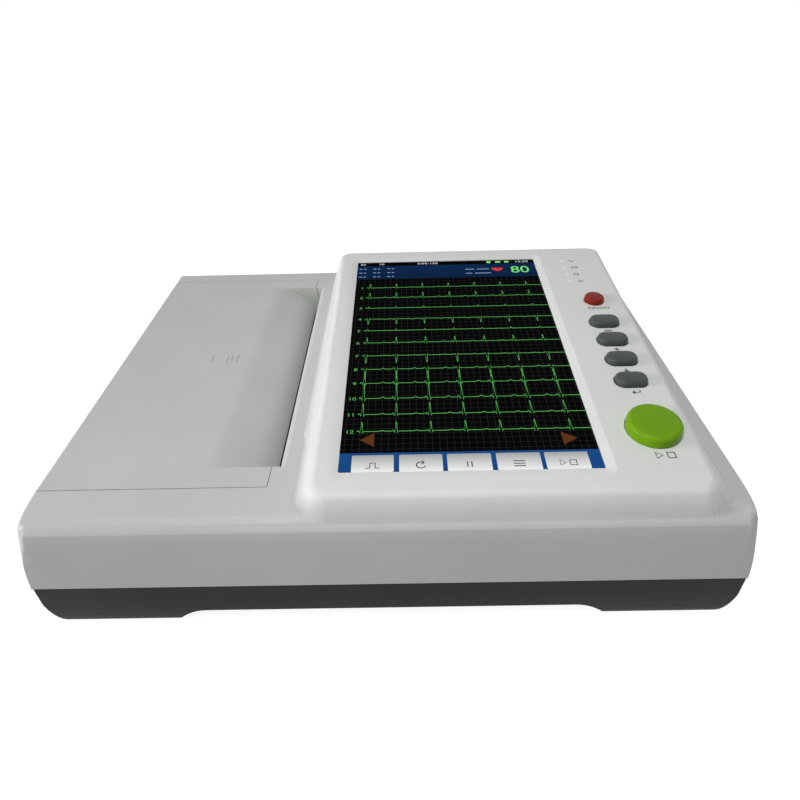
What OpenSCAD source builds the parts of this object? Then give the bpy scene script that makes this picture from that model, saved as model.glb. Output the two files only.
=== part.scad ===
// Twelve-channel electrocardiograph: a light moulded case on a dark base, a full-width thermal
// printer under a hinged cover on the left, and a portrait touch display with keys on a raised
// hump on the right.
// The origin is on the table at the centre of the footprint. +X is right, +Y is back, +Z is up.

/* [Case] */
// Width of the case at the parting line
body_w = 366; // [362:1:384]
// Depth of the case at the parting line
body_d = 299; // [297:1:318]
// Height of the flat deck above the table
deck_h = 70; // [69:0.5:74]
// Height of the parting line between base and case
split_h = 32; // [31:0.5:33]
// Radius of the case corners in plan
corner_r = 5; // [3.5:0.25:6]
// Radius of the base corners in plan
base_r = 1.5; // [1:0.25:3]
// Angle at which the front wall leans back
front_lean = 7.5; // [6:0.5:9]
// Radius of the nose along the front edge
nose_r = 9.5; // [8:0.25:10.5]
// Radius of the back edge of the deck
edge_r = 4.5; // [3.25:0.25:6]
// Radius of the side edges of the deck
side_r = 1.2; // [0.8:0.1:3]
// How far the back wall leans in from the parting line to the deck
draft = 2; // [1:0.1:2]
// How far the side walls lean in from the parting line to the deck
side_draft = 0.4; // [0.2:0.1:1.2]
// Thickness of the moulded walls
wall = 2.5; // [2:0.1:2.8]

/* [Base] */
// How far the front and back of the base tuck in at the bottom
tuck = 3.2; // [2:0.2:4]
// How far the sides of the base tuck in at the bottom
side_tuck = 8.5; // [6:0.5:9]
// Height of the arch between the two runners
arch_h = 10.6; // [9:0.2:11]
// Distance of the arch from each side of the case
arch_side = 68; // [66:1:74]
// Width of each sloping end of the arch
arch_run = 18; // [14:1:20]
// Gap under the base, which the rubber feet fill
foot_lift = 1; // [0.8:0.1:1.4]
// Radius of a rubber foot
foot_r = 9; // [7:0.5:11]

/* [Display hump] */
// Tilt of the display panel
tilt = 5; // [4.5:0.1:5.5]
// Height of the panel's front crease above the deck
crease_h = 9.7; // [9:0.1:11]
// Distance of the crease from the front of the case
crease_y = 16.5; // [16:0.25:18]
// Distance of the panel's back edge from the back of the case
brow_y = 34.5; // [33:0.5:36]
// Width of the sloping flanks at the deck
flank = 10.6; // [9:0.2:11.4]
// Distance of the hump's right foot from the side of the case
hump_side = 9; // [8:0.5:10]

/* [Display] */
// Width of the lit area
lit_w = 135.7; // [132:0.1:137]
// Length of the lit area along the panel
lit_l = 217.2; // [212:0.1:217.2]
// Distance of the lit area from the hump's left top edge
lit_x = 13.2; // [12.5:0.1:14]
// Distance of the lit area from the crease, along the panel
lit_v = 15.4; // [15:0.1:16]
// Depth of the glass under the panel
glass_sink = 2; // [1.8:0.1:2.2]
// Thickness of the touch glass
glass_t = 1.1; // [0.8:0.1:1.5]
// Width of the bevel round the lit area
bevel_w = 5.6; // [4:0.1:6]

/* [Keys] */
// Distance of the keys from the hump's right top edge
key_x = 20.6; // [19.5:0.1:21]
// Length of a menu key
key_w = 19.2; // [17:0.2:20]
// Width of a menu key
key_d = 12; // [10:0.2:13]
// Distance between menu keys
key_pitch = 20.1; // [19:0.1:20.4]
// Height of a menu key above the panel
key_h = 3.8; // [3:0.1:5]
// Diameter of the power key
power_d = 13.2; // [11:0.2:14]
// Diameter of the print key
print_d = 29; // [26:0.5:31]
// Height of the print key above the panel
print_h = 6.6; // [5:0.1:8]
// Travel of every key
key_travel = 1.2; // [0.8:0.1:1.4]
// Clearance round a key in its hole
key_gap = 0.3; // [0.25:0.05:0.45]

/* [Paper cover] */
// Distance from the hinge to the free edge of the cover
cover_r = 119.5; // [118:0.5:122]
// Length of the cover from front to back
cover_l = 247; // [244:1:250]
// How far the cover's middle lies behind the middle of the case
cover_y = 6.9; // [5:0.1:8]
// Seam round the cover
seam = 0.45; // [0.4:0.05:0.6]
// Height of the hinge above the parting line
hinge_rise = 10; // [9.5:0.25:11]
// Radius of the hinge barrel
barrel_r = 4.2; // [3.8:0.1:4.4]
// Diameter of the hinge pin
hinge_pin_d = 3; // [2.5:0.1:3.5]
// Length of the finger scoop, a little more than the paper's width
scoop_l = 216.8; // [215:0.2:219]
// Radius of the scoop's falling surface
scoop_r = 38; // [37.5:0.25:40]
// Width of the scoop at the deck
scoop_w = 35.4; // [35:0.1:36.5]

/* [Printer] */
// Width of the recording paper
paper_w = 210; // [206:1:211]
// Radius of a full paper roll
roll_r = 24; // [20:0.5:24.4]
// Radius of the platen
platen_r = 7.5; // [7:0.1:7.6]
// Diameter of the platen's shaft
shaft_d = 6; // [5:0.25:6.5]
// Gear module
gear_m = 0.8; // [0.75:0.05:0.85]
// Face width of the gears
gear_w = 5.5; // [4.5:0.25:5.75]
// Play between meshed teeth
backlash = 0.3; // [0.2:0.05:0.4]
// Radius of the paper motor
motor_r = 16.5; // [14:0.25:16.8]
// Length of the paper motor
motor_l = 14.5; // [12:0.25:14.75]

/* [Hidden] */
$fn = 48;
corner_steps = 8;

// running and seating clearances
run = 0.05;
seat = 0.3;

// case
left_x = -body_w / 2;
right_x = body_w / 2;
front_y = -body_d / 2;
back_y = body_d / 2;
wall_in = draft + wall;
nose_z = deck_h - nose_r;
nose_y = front_y + nose_r * cos(front_lean) + (nose_z + nose_r * sin(front_lean) - split_h) * tan(front_lean);
back_edge_y = back_y - draft - edge_r;
tuck_top = split_h - 4;
roof_z = deck_h - wall;
floor_t = wall;
arch_floor = arch_h + floor_t;
runner_floor = foot_lift + 4;

// hinge and cover
hinge_x = left_x + 0.8 + barrel_r;
hinge_z = split_h + hinge_rise;
free_x = hinge_x + sqrt(pow(cover_r, 2) - pow(deck_h - hinge_z, 2));
cover_front = cover_y - cover_l / 2;
cover_back = cover_y + cover_l / 2;
scoop_front = cover_y - scoop_l / 2;
scoop_back = cover_y + scoop_l / 2;
scoop_x = free_x - scoop_w;
scoop_z = deck_h - scoop_r;
scoop_tip_z = deck_h - 20;
slit_w = 4.6;
lip_x = free_x + slit_w;
lip_r = 3.5;
cheek_t = 2.6;
knuckle_l = 16;
knuckle_y = [cover_y - 92, cover_y + 92];
rim_z = hinge_z - barrel_r - 1.4;

// hump, in case axes and then in panel axes
hump_left = lip_x + 9.4;
hump_right = right_x - hump_side;
top_left = hump_left + flank;
top_right = hump_right - flank;
panel_y = front_y + crease_y;
panel_z = deck_h + crease_h;
panel_l = (back_y - brow_y - panel_y) / cos(tilt);
function panel_top(y) = panel_z + (y - panel_y) * tan(tilt);

// display
lit_x0 = top_left + lit_x;
lit_x1 = lit_x0 + lit_w;
lit_v1 = lit_v + lit_l;
lcd_border = 6.6;
lcd_t = 5;
bracket_t = 1;
glass_h = -glass_sink;
lcd_h = glass_h - glass_t;
bracket_h = lcd_h - lcd_t;
glass_border = 3.2;
// the bevel runs on a little above the panel, so that it cuts the surface cleanly
bevel_t = glass_sink - 0.7;
bevel_top = 0.5;
above = bevel_w * bevel_top / bevel_t;

// keys
keys_x = top_right - key_x;
menu_v = [for (i = [0 : 3]) 141.8 - i * key_pitch];
power_v = 169.2;
print_v = 41.4;
light_x = keys_x - 10.4;
light_v = [for (i = [0 : 3]) 225.1 - i * 9.9];
light_d = 2.6;
key_flange = 1.2;
flange_h = -wall - seat;
stem_r = 1.5;
board_h = -wall - 6;
board_t = 1.6;
switch_size = 6;
switch_h = 3.4;
stem_end = board_h + switch_h - 1.7;

// printer
platen_x = free_x - 9;
platen_z = deck_h - 30.3;
platen_teeth = 18;
idler_teeth = 21;
pinion_teeth = 12;
gear_y = scoop_back + cheek_t + 2.2;
plate_t = 1.2;
back_plate_y = gear_y + gear_w + 1.6;
front_plate_y = scoop_front - cheek_t - 8;
idler_z = platen_z - gear_m * (platen_teeth + idler_teeth) / 2;
pinion_angle = 30;
pinion_reach = gear_m * (idler_teeth + pinion_teeth) / 2;
pinion_x = platen_x + pinion_reach * cos(pinion_angle);
pinion_z = idler_z + pinion_reach * sin(pinion_angle);
idler_phase = 90 + 180 / idler_teeth;
pinion_phase = 180 + pinion_angle
    + (180 + (idler_phase - pinion_angle) * idler_teeth) / pinion_teeth;
axle_r = 1.5;
motor_shaft_r = 1;
chassis_z = arch_floor + 0.1;
chassis_x0 = platen_x - 21;
chassis_x1 = platen_x + 27;
chassis_top = platen_z + 9;
head_x = platen_x + platen_r + seat;
head_z0 = platen_z - 10;
head_h = 16;
ceramic_t = 1;
sink_t = 4;
head_travel = 0.8;
spring_r = 2.6;
spring_x = head_x + ceramic_t + sink_t;
spring_l = 4.4;
spring_y = [scoop_front + 40, cover_y, scoop_back - 40];
guide_r = 1.2;
head_stop_x = spring_x + spring_l + head_travel + 0.1;

// paper
roll_x = hinge_x + 42;
roll_z = deck_h - 30;
core_r = 8;
spindle_r = 5;
tray_x0 = roll_x - roll_r - 9;
tray_x1 = roll_x + roll_r + 10;
tray_z = arch_floor + 0.2;
tray_t = 1.6;
tray_front = cover_y - paper_w / 2 - 7;
tray_back = cover_y + paper_w / 2 + 7;

// connectors
socket_z = (split_h + deck_h) / 2 - 1.4;
pad_y = back_y - draft - 0.4;
pad_x = right_x - draft - 0.4;
inlet_x = right_x - 47;
inlet_w = 28;
inlet_h = 20.4;
switch_x = inlet_x - 40;
rocker_w = 12.6;
rocker_h = 19.2;
fuse_x = [switch_x - 22, switch_x - 39];
earth_x = fuse_x[1] - 23;
earth_r = 3;
earth_cup_r = 11;
earth_cup_d = 11;
ecg_y = -62;
usb_y = -18;
board_z = socket_z - 10;
board_posts_v = [23, 122, 214];
main_posts_x = [-30, right_x - 24];
power_z = board_z - 9;
power_posts_x = [right_x - 100, right_x - 24];
power_posts_y = [back_y - 84, back_y - 34];
main_posts_y = [front_y + 27, power_posts_y[0] - 45];

// battery
cell_r = 9.2;
cell_l = 66;
pack_x0 = 4;
pack_y0 = back_y - 96;
pack_w = 8 * cell_r;
bay_gap = 0.8;

// screws: places of the posts that join the two shells
posts = [
    [left_x + 17.5, front_y + 17.5], [left_x + 17.5, back_y - 10.8],
    [right_x - 17.5, front_y + 17.5], [right_x - 13, back_y - 14],
    [-34, front_y + 15], [-26, back_y - 12]
];
post_r = 4.4;
screw_r = 1.5;
screw_head_r = 2.9;
feet = [for (sx = [-1, 1], sy = [-1, 1]) [sx * (body_w / 2 - 37), sy * (body_d / 2 - 36)]];

light_grey = [0.82, 0.84, 0.83];
cover_grey = [0.74, 0.76, 0.74];
dark_grey = [0.2, 0.21, 0.2];
steel = [0.72, 0.73, 0.75];

// ---- outlines ----

// points of a rounded rectangle, each with its outward normal, with extra points along the sides
function round_rect(x0, x1, y0, y1, r, steps, splits = 1) =
    let (cx = [x1 - r, x0 + r, x0 + r, x1 - r], cy = [y1 - r, y1 - r, y0 + r, y0 + r])
    [for (c = [0 : 3]) each concat(
        [for (k = [0 : steps]) let (a = 90 * c + 90 * k / steps)
            [cx[c] + r * cos(a), cy[c] + r * sin(a), cos(a), sin(a)]],
        splits < 2 ? [] :
        let (a = 90 * c + 90, d = (c + 1) % 4,
             p = [cx[c] + r * cos(a), cy[c] + r * sin(a)],
             q = [cx[d] + r * cos(a), cy[d] + r * sin(a)])
        [for (k = [1 : splits - 1]) let (m = p + (q - p) * k / splits) [m.x, m.y, cos(a), sin(a)]]
    )];

// closed skin through rings of points that all have the same count, from the lowest ring up
module skin(rings) {
    n = len(rings[0]);
    last = len(rings) - 1;
    polyhedron(
        points = [for (ring = rings) each ring],
        faces = concat(
            [[for (i = [0 : n - 1]) i]],
            [for (j = [0 : last - 1], i = [0 : n - 1])
                [j * n + i, (j + 1) * n + i, (j + 1) * n + (i + 1) % n]],
            [for (j = [0 : last - 1], i = [0 : n - 1])
                [j * n + i, (j + 1) * n + (i + 1) % n, j * n + (i + 1) % n]],
            [[for (i = [n - 1 : -1 : 0]) last * n + i]]
        )
    );
}

module plan_rect(x0, x1, y0, y1, r) {
    square_w = x1 - x0;
    square_l = y1 - y0;
    translate([x0 + r, y0]) square([square_w - 2 * r, square_l]);
    translate([x0, y0 + r]) square([square_w, square_l - 2 * r]);
    for (x = [x0 + r, x1 - r], y = [y0 + r, y1 - r]) translate([x, y]) circle(r);
}

module slab(x0, x1, y0, y1, z0, z1, r) {
    translate([0, 0, z0]) linear_extrude(z1 - z0) plan_rect(x0, x1, y0, y1, r);
}

module block(x0, x1, y0, y1, z0, z1) {
    translate([x0, y0, z0]) cube([x1 - x0, y1 - y0, z1 - z0]);
}

// a cylinder that lies along Y
module bar(x, z, y0, y1, r) {
    translate([x, y0, z]) rotate([-90, 0, 0]) cylinder(h = y1 - y0, r = r);
}

// an outline in Y and Z, drawn out along X
module along_x(x0, x1) translate([x0, 0, 0]) rotate([90, 0, 90]) linear_extrude(x1 - x0) children();

// an outline in X and Z, drawn out along Y
module along_y(y0, y1) translate([0, y1, 0]) rotate([90, 0, 0]) linear_extrude(y1 - y0) children();

// places its children in the panel's axes: X across, Y up the slope from the crease, Z outward
module on_panel() {
    translate([0, panel_y, panel_z]) rotate([tilt, 0, 0]) children();
}

// ---- case ----

// Section of the case from front to back: the leaning front wall, the nose, the deck and its back
// edge. With an inset it is the section of the space inside a wall of that thickness.
module long_section(inset, low) {
    front = front_y + inset / cos(front_lean) - (split_h - low) * tan(front_lean);
    meet = [nose_y - (nose_r - inset) * cos(front_lean), nose_z + (nose_r - inset) * sin(front_lean)];
    inner_back = back_y - draft - inset;
    polygon([
        [front, low], meet, [nose_y, deck_h - inset], [back_edge_y, deck_h - inset],
        [inner_back, deck_h - edge_r], [inset > 0 ? inner_back : back_y, low]
    ]);
    translate([nose_y, nose_z]) circle(nose_r - inset);
    translate([back_edge_y, deck_h - edge_r]) circle(edge_r - inset);
}

// section of the case from side to side
module cross_section() {
    x = right_x - side_draft;
    polygon([
        [left_x, split_h], [right_x, split_h], [x, deck_h - side_r], [x - side_r, deck_h],
        [side_r - x, deck_h], [-x, deck_h - side_r]
    ]);
    for (s = [-1, 1]) translate([s * (x - side_r), deck_h - side_r]) circle(side_r);
}

// The front corners are sharp at the parting line and round at the nose, so their plan leans back
// faster than the front wall does.
module body_skin() {
    rise = nose_z - split_h;
    corner_lean = atan(tan(front_lean) + corner_r / rise);
    intersection() {
        along_x(left_x - 1, right_x + 1) long_section(0, split_h);
        along_y(front_y - 1, back_y + 1) cross_section();
        slab(left_x, right_x, front_y - corner_r - 1, back_y, split_h - 1, deck_h + 1, corner_r);
        translate([0, front_y - corner_r, split_h]) rotate([-corner_lean, 0, 0])
            slab(left_x, right_x, 0, 2 * body_d, -deck_h, body_d, corner_r);
    }
}

// The hump: sloping flanks from a foot on the deck to the tilted panel, with rounded top edges.
// Its skin runs on a little above the panel, which is then cut as one flat face.
module hump_skin() difference() {
    hump_blank();
    on_panel() block(-body_w, body_w, -body_d, 2 * body_d, 0, 9);
}

module hump_blank() {
    splits = 10;
    foot = round_rect(hump_left, hump_right, panel_y - flank - 0.4, back_edge_y, 18, corner_steps, splits);
    top = round_rect(top_left, top_right, panel_y, back_y - brow_y, 9, corner_steps, splits);
    n = len(foot);
    low = [for (p = foot) [p.x - 4 * p[2], p.y - 4 * p[3], deck_h - 9]];
    feet_ring = [for (p = foot) [p.x, p.y, deck_h - 0.3 - 4.9 * pow(max(0, -p[3]), 2)]];
    crest = [for (p = top) [p.x, p.y, panel_top(p.y)]];
    soft = 3.2;
    back_soft = 7.8;
    blend = [for (p = top) soft + (back_soft - soft) * pow(max(0, p[3]), 2)];
    start = [for (i = [0 : n - 1]) let (d = feet_ring[i] - crest[i]) crest[i] + d * blend[i] / norm(d)];
    end = [for (i = [0 : n - 1])
        let (x = top[i].x - soft * top[i][2],
            y = top[i].y - (top[i][3] > 0 ? back_soft : soft) * top[i][3])
        [x, y, panel_top(y) + 0.06]];
    cap = [for (i = [0 : n - 1]) end[i] + [-top[i][2] / 2, -top[i][3] / 2, 1]];
    skin(concat(
        [low, feet_ring],
        [for (t = [0 : 0.2 : 1]) [for (i = [0 : n - 1])
            start[i] * pow(1 - t, 2) + crest[i] * 2 * t * (1 - t) + end[i] * t * t]],
        [cap]
    ));
}

module case_cavity() {
    along_x(left_x + wall_in, right_x - wall_in) long_section(wall, split_h - 1);
    hull() {
        block(hump_left + flank - 2, hump_right - flank + 2, panel_y + 3, back_y - 24,
            nose_z, roof_z - 1);
        on_panel() block(top_left + 3, top_right - 3, 5, panel_l - 9, -wall - 0.1, -wall);
    }
}

// the space that the cover and its swing take out of the case
module cover_space(gap) {
    intersection() {
        bar(hinge_x, hinge_z, cover_front - gap, cover_back + gap, cover_r + gap);
        slab(left_x - 5, free_x + 3.2 + gap, cover_front - gap, cover_back + gap,
            rim_z, deck_h + 5, 4 + gap);
    }
}

module scoop_space(y0, y1) {
    intersection() {
        difference() {
            block(scoop_x, lip_x, y0, y1, scoop_tip_z, deck_h + 5);
            bar(scoop_x, scoop_z, y0 - 1, y1 + 1, scoop_r);
        }
        block(scoop_x - 1, lip_x + 1, y0, y1, scoop_tip_z - 1, deck_h + 6);
    }
}

// the housing's rounded lip along the paper slit
module lip_cut() {
    difference() {
        block(lip_x - 1, lip_x + lip_r, scoop_front, scoop_back, deck_h - lip_r, deck_h + 1);
        bar(lip_x + lip_r, deck_h - lip_r, scoop_front - 1, scoop_back + 1, lip_r);
    }
}

module pill(w, d, h0, h1) {
    translate([0, 0, h0]) linear_extrude(h1 - h0)
        plan_rect(-w / 2, w / 2, -d / 2, d / 2, d / 2 - 0.6);
}

module panel_holes() {
    on_panel() {
        hull() {
            slab(lit_x0 - bevel_w - above, lit_x1 + bevel_w + above - 1, lit_v - bevel_w - above - 1.4,
                lit_v1 + bevel_w + above, bevel_top, bevel_top + 0.1, 6 + above);
            slab(lit_x0, lit_x1, lit_v, lit_v1, -bevel_t, 0.1 - bevel_t, 1);
        }
        slab(lit_x0, lit_x1, lit_v, lit_v1, -4, 1, 1);
        block(lit_x0 - glass_border, lit_x1 + glass_border, lit_v - glass_border,
            lit_v1 + glass_border, -8, glass_h);
        for (v = menu_v) translate([keys_x, v, 0])
            pill(key_w + 2 * key_gap, key_d + 2 * key_gap, -4, 1);
        translate([keys_x, power_v, -4]) cylinder(h = 6, r = power_d / 2 + key_gap);
        translate([keys_x, print_v, -4]) cylinder(h = 6, r = print_d / 2 + key_gap);
        for (v = light_v) translate([light_x, v, -4]) cylinder(h = 6, r = light_d / 2 + run);
    }
}

module back_holes() {
    block(earth_x - 16, right_x - 24, pad_y, back_y + 1, socket_z - 14, socket_z + 12.4);
    block(inlet_x - inlet_w / 2 + 1, inlet_x + inlet_w / 2 - 1, pad_y - 9, back_y,
        socket_z - inlet_h / 2 + 1, socket_z + inlet_h / 2 - 1);
    block(switch_x - rocker_w / 2 - 1.2, switch_x + rocker_w / 2 + 1.2, pad_y - 9, back_y,
        socket_z - rocker_h / 2 - 1.2, socket_z + rocker_h / 2 + 1.2);
    for (x = fuse_x) bar(x, socket_z, pad_y - 9, back_y, 6.1);
}

module side_holes() {
    block(pad_x, right_x + 1, ecg_y - 27, usb_y + 14, socket_z - 12, socket_z + 11);
    block(pad_x - 9, right_x, ecg_y - 12.6, ecg_y + 12.6, socket_z - 5.8, socket_z + 5.8);
    block(pad_x - 9, right_x, usb_y - 7.4, usb_y + 7.4, board_z + board_t - 0.3, board_z + board_t + 7.3);
}

module housing_posts() {
    for (p = posts) translate([p.x, p.y, split_h]) cylinder(h = roof_z - split_h + 1, r = post_r);
    on_panel() for (v = board_posts_v, x = [lit_x1 + 14.6, top_right - 7])
        translate([x, v, board_h]) cylinder(h = -board_h - 1, r = 2.4);
}

// walls that drop from the deck round the paper slit, clear of the cover's swing
module slit_walls() {
    difference() {
        block(free_x - 1, lip_x + wall, scoop_front - wall, scoop_back + wall, deck_h - 22, roof_z + 0.5);
        block(free_x - 2, lip_x, scoop_front, scoop_back, deck_h - 23, deck_h);
        bar(hinge_x, hinge_z, cover_front, cover_back, cover_r + seam);
    }
}

module hinge_knuckles() {
    for (y = knuckle_y) {
        bar(hinge_x, hinge_z, y - knuckle_l / 2 + seat, y + knuckle_l / 2 - seat, barrel_r);
        block(hinge_x - barrel_r + 0.2, hinge_x + barrel_r, y - knuckle_l / 2 + seat,
            y + knuckle_l / 2 - seat, rim_z - 2, hinge_z);
    }
}

module top_housing() color(light_grey) {
    difference() {
        union() {
            difference() {
                union() {
                    body_skin();
                    hump_skin();
                }
                case_cavity();
                cover_space(seam);
                block(lip_x - slit_w - 4, lip_x, scoop_front, scoop_back, split_h, deck_h + 1);
                lip_cut();
            }
            housing_posts();
            slit_walls();
            // rim that carries the hinge, and its knuckles
            block(left_x + wall_in - 0.5, hinge_x + barrel_r, cover_front - 3, cover_back + 3,
                split_h, rim_z - 0.5);
            hinge_knuckles();
            // cup round the earth post
            bar(earth_x, socket_z, pad_y - earth_cup_d - wall, pad_y - 0.5, earth_cup_r + wall);
        }
        panel_holes();
        back_holes();
        side_holes();
        bar(earth_x, socket_z, pad_y - earth_cup_d, back_y + 1, earth_cup_r);
        bar(earth_x, socket_z, pad_y - earth_cup_d - wall - 1, back_y, earth_r + run);
        bar(hinge_x, hinge_z, cover_front - 9, cover_back + 9, hinge_pin_d / 2 + run);
        for (p = posts) translate([p.x, p.y, split_h - 1]) cylinder(h = 14, r = screw_r + run);
    }
}

// ---- base ----

// outline of the arch between the runners, as seen from the front
module arch_outline() {
    x0 = left_x + arch_side;
    x1 = right_x - arch_side + 2;
    ease = [for (k = [0 : 6]) k / 6];
    rise = function (t) arch_h * (1 - pow(1 - t, 2.2));
    polygon(concat(
        [[x0 - 1, -1]],
        [for (t = ease) [x0 + arch_run * t, rise(t)]],
        [for (k = [6 : -1 : 0]) [x1 - arch_run * k / 6, rise(k / 6)]],
        [[x1 + 1, -1]]
    ));
}

// section of the base, as wide as twice the half width, drawn in round the bottom at both sides
module base_section(half, drawn_in, top) {
    side = concat([[half, top]], [for (a = [0 : 11.25 : 90])
        [half - drawn_in * (1 - cos(a)), tuck_top - (tuck_top - foot_lift) * sin(a)]]);
    polygon(concat(side, [for (k = [len(side) - 1 : -1 : 0]) [-side[k].x, side[k].y]]));
}

module base_skin() {
    intersection() {
        along_y(front_y - 1, back_y + 1) base_section(right_x, side_tuck, split_h);
        along_x(left_x - 1, right_x + 1) base_section(back_y, tuck, split_h);
        slab(left_x, right_x, front_y, back_y, foot_lift - 1, split_h + 1, base_r);
    }
}

// a post from the floor, which lies lower in the runners than over the arch
module floor_post(x, y, top, r) {
    over_arch = x > left_x + arch_side && x < right_x - arch_side;
    low = over_arch ? arch_floor - 1 : runner_floor - 1;
    translate([x, y, low]) cylinder(h = top - low, r = r);
}

module base_bosses() {
    for (p = posts) floor_post(p.x, p.y, split_h, post_r);
    for (x = main_posts_x, y = main_posts_y) floor_post(x, y, board_z, 3.2);
    for (x = power_posts_x, y = power_posts_y) floor_post(x, y, power_z, 3.2);
    // ribs that carry the paper tray
    for (x = [tray_x0 + 4, roll_x - 2])
        block(x, x + 3, tray_front + 6, tray_back - 6, runner_floor - 1, tray_z);
    // walls of the battery bay
    difference() {
        block(pack_x0 - bay_gap - 2, pack_x0 + pack_w + bay_gap + 2, pack_y0 - bay_gap - 2,
            pack_y0 + cell_l + bay_gap + 4, arch_h, arch_h + 2 * cell_r - 3);
        block(pack_x0 - bay_gap, pack_x0 + pack_w + bay_gap, pack_y0 - bay_gap,
            pack_y0 + cell_l + bay_gap + 2, arch_h - 1, arch_h + 2 * cell_r);
    }
}

module base_shell() color(dark_grey) {
    difference() {
        union() {
            difference() {
                base_skin();
                along_y(front_y - 1, back_y + 1) arch_outline();
                intersection() {
                    along_y(front_y + wall_in + 1, back_y - wall_in - 1)
                        base_section(right_x - wall, side_tuck, split_h + 1);
                    block(left_x, right_x, front_y, back_y, arch_floor, split_h + 1);
                }
                slab(left_x + side_tuck + wall, left_x + arch_side - wall - 1,
                    front_y + tuck + wall + 1, back_y - tuck - wall - 1,
                    runner_floor, arch_floor + 1, 5);
                slab(right_x - arch_side + wall + 3, right_x - side_tuck - wall,
                    front_y + tuck + wall + 1, back_y - tuck - wall - 1,
                    runner_floor, arch_floor + 1, 5);
            }
            base_bosses();
        }
        // battery bay and the step that its door closes
        block(pack_x0 - bay_gap, pack_x0 + pack_w + bay_gap, pack_y0 - bay_gap,
            pack_y0 + cell_l + bay_gap + 2, arch_h - 1, arch_floor + 1);
        block(pack_x0 - bay_gap - 2, pack_x0 + pack_w + bay_gap + 2, pack_y0 - bay_gap - 8,
            pack_y0 + cell_l + bay_gap + 10, arch_h - 1, arch_h + 1.2);
        for (y = [pack_y0 - bay_gap - 5, pack_y0 + cell_l + bay_gap + 7])
            translate([pack_x0 + pack_w / 2, y, arch_h]) cylinder(h = 6, r = screw_r + run);
        for (p = feet) translate([p.x, p.y, 0]) cylinder(h = foot_lift + 1.5, r = foot_r + 0.1);
        for (p = posts) translate([p.x, p.y, 0]) {
            cylinder(h = split_h + 1, r = screw_r + run);
            cylinder(h = split_h - 10, r = screw_head_r + 0.3);
        }
        // speaker grille and air slots
        for (i = [-3 : 3]) block(75 + i * 5 - 1.1, 75 + i * 5 + 1.1, front_y + 34,
            front_y + 62, arch_h - 1, arch_floor + 1);
        for (i = [0 : 6]) block(-30 + i * 6 - 1.2, -30 + i * 6 + 1.2, -40, 0,
            arch_h - 1, arch_floor + 1);
    }
}

module rubber_feet() color([0.08, 0.08, 0.08]) {
    for (p = feet) translate([p.x, p.y, 0]) rotate_extrude() difference() {
        square([foot_r, foot_lift + 1.5]);
        translate([foot_r - 0.5, -0.01]) square([1, 0.5]);
    }
}

module screw(head_z, length) {
    translate([0, 0, head_z - 2]) cylinder(h = 2, r = screw_head_r);
    translate([0, 0, head_z - 0.5]) cylinder(h = length, r = screw_r);
}

module case_screws() color(steel) {
    for (p = posts) translate([p.x, p.y, 0]) screw(split_h - 10, 20);
    for (y = [pack_y0 - bay_gap - 5, pack_y0 + cell_l + bay_gap + 7])
        translate([pack_x0 + pack_w / 2, y, 0]) screw(arch_h, 5.5);
}

module battery_door() color(dark_grey) {
    difference() {
        block(pack_x0 - bay_gap - 1.6, pack_x0 + pack_w + bay_gap + 1.6,
            pack_y0 - bay_gap - 7.6, pack_y0 + cell_l + bay_gap + 9.6, arch_h, arch_h + 1.2);
        for (y = [pack_y0 - bay_gap - 5, pack_y0 + cell_l + bay_gap + 7])
            translate([pack_x0 + pack_w / 2, y, arch_h - 1]) cylinder(h = 4, r = screw_r + run);
    }
}

module battery_pack() color([0.15, 0.3, 0.55]) {
    z = arch_h + 1.4 + cell_r;
    for (i = [0 : 3]) bar(pack_x0 + cell_r * (1 + 2 * i), z, pack_y0, pack_y0 + cell_l, cell_r);
    block(pack_x0 + cell_r, pack_x0 + pack_w - cell_r, pack_y0, pack_y0 + cell_l,
        z - cell_r * 0.98, z + cell_r * 0.98);
}

// ---- electronics ----

module main_board() color([0.1, 0.4, 0.2]) {
    x1 = pad_x - 5;
    y0 = main_posts_y[0] - 4;
    y1 = main_posts_y[1] + 8;
    difference() {
        block(-36, x1, y0, y1, board_z, board_z + board_t);
        for (x = main_posts_x, y = main_posts_y)
            translate([x, y, board_z - 1]) cylinder(h = 4, r = 1.4);
    }
    // processor, memory, front-end amplifier can and connectors
    block(20, 44, y0 + 60, y0 + 84, board_z + board_t, board_z + board_t + 2);
    block(52, 66, y0 + 62, y0 + 82, board_z + board_t, board_z + board_t + 1.2);
    block(x1 - 62, x1 - 20, y0 + 34, y0 + 80, board_z + board_t, board_z + board_t + 6);
    block(-30, -12, y1 - 59, y1 - 53, board_z + board_t, board_z + board_t + 5);
    block(70, 110, y1 - 25, y1 - 19, board_z + board_t, board_z + board_t + 5);
}

module power_module() color([0.15, 0.45, 0.25]) {
    z = power_z;
    x0 = power_posts_x[0] - 6;
    x1 = power_posts_x[1] + 6;
    y0 = power_posts_y[0] - 6;
    block(x0, x1, y0, power_posts_y[1] + 6, z, z + board_t);
    // transformer, filter capacitors and heatsink
    block(x0 + 34, x0 + 60, y0 + 16, y0 + 44, z + board_t, z + board_t + 20);
    for (i = [0, 1]) translate([x0 + 74, y0 + 18 + 20 * i, z + board_t]) cylinder(h = 22, r = 8);
    block(x0 + 10, x0 + 12, y0 + 8, y0 + 52, z + board_t, z + board_t + 20);
    for (i = [0 : 3]) block(x0 + 12, x0 + 22, y0 + 8 + 14 * i, y0 + 10 + 14 * i,
        z + board_t, z + board_t + 20);
}

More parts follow.
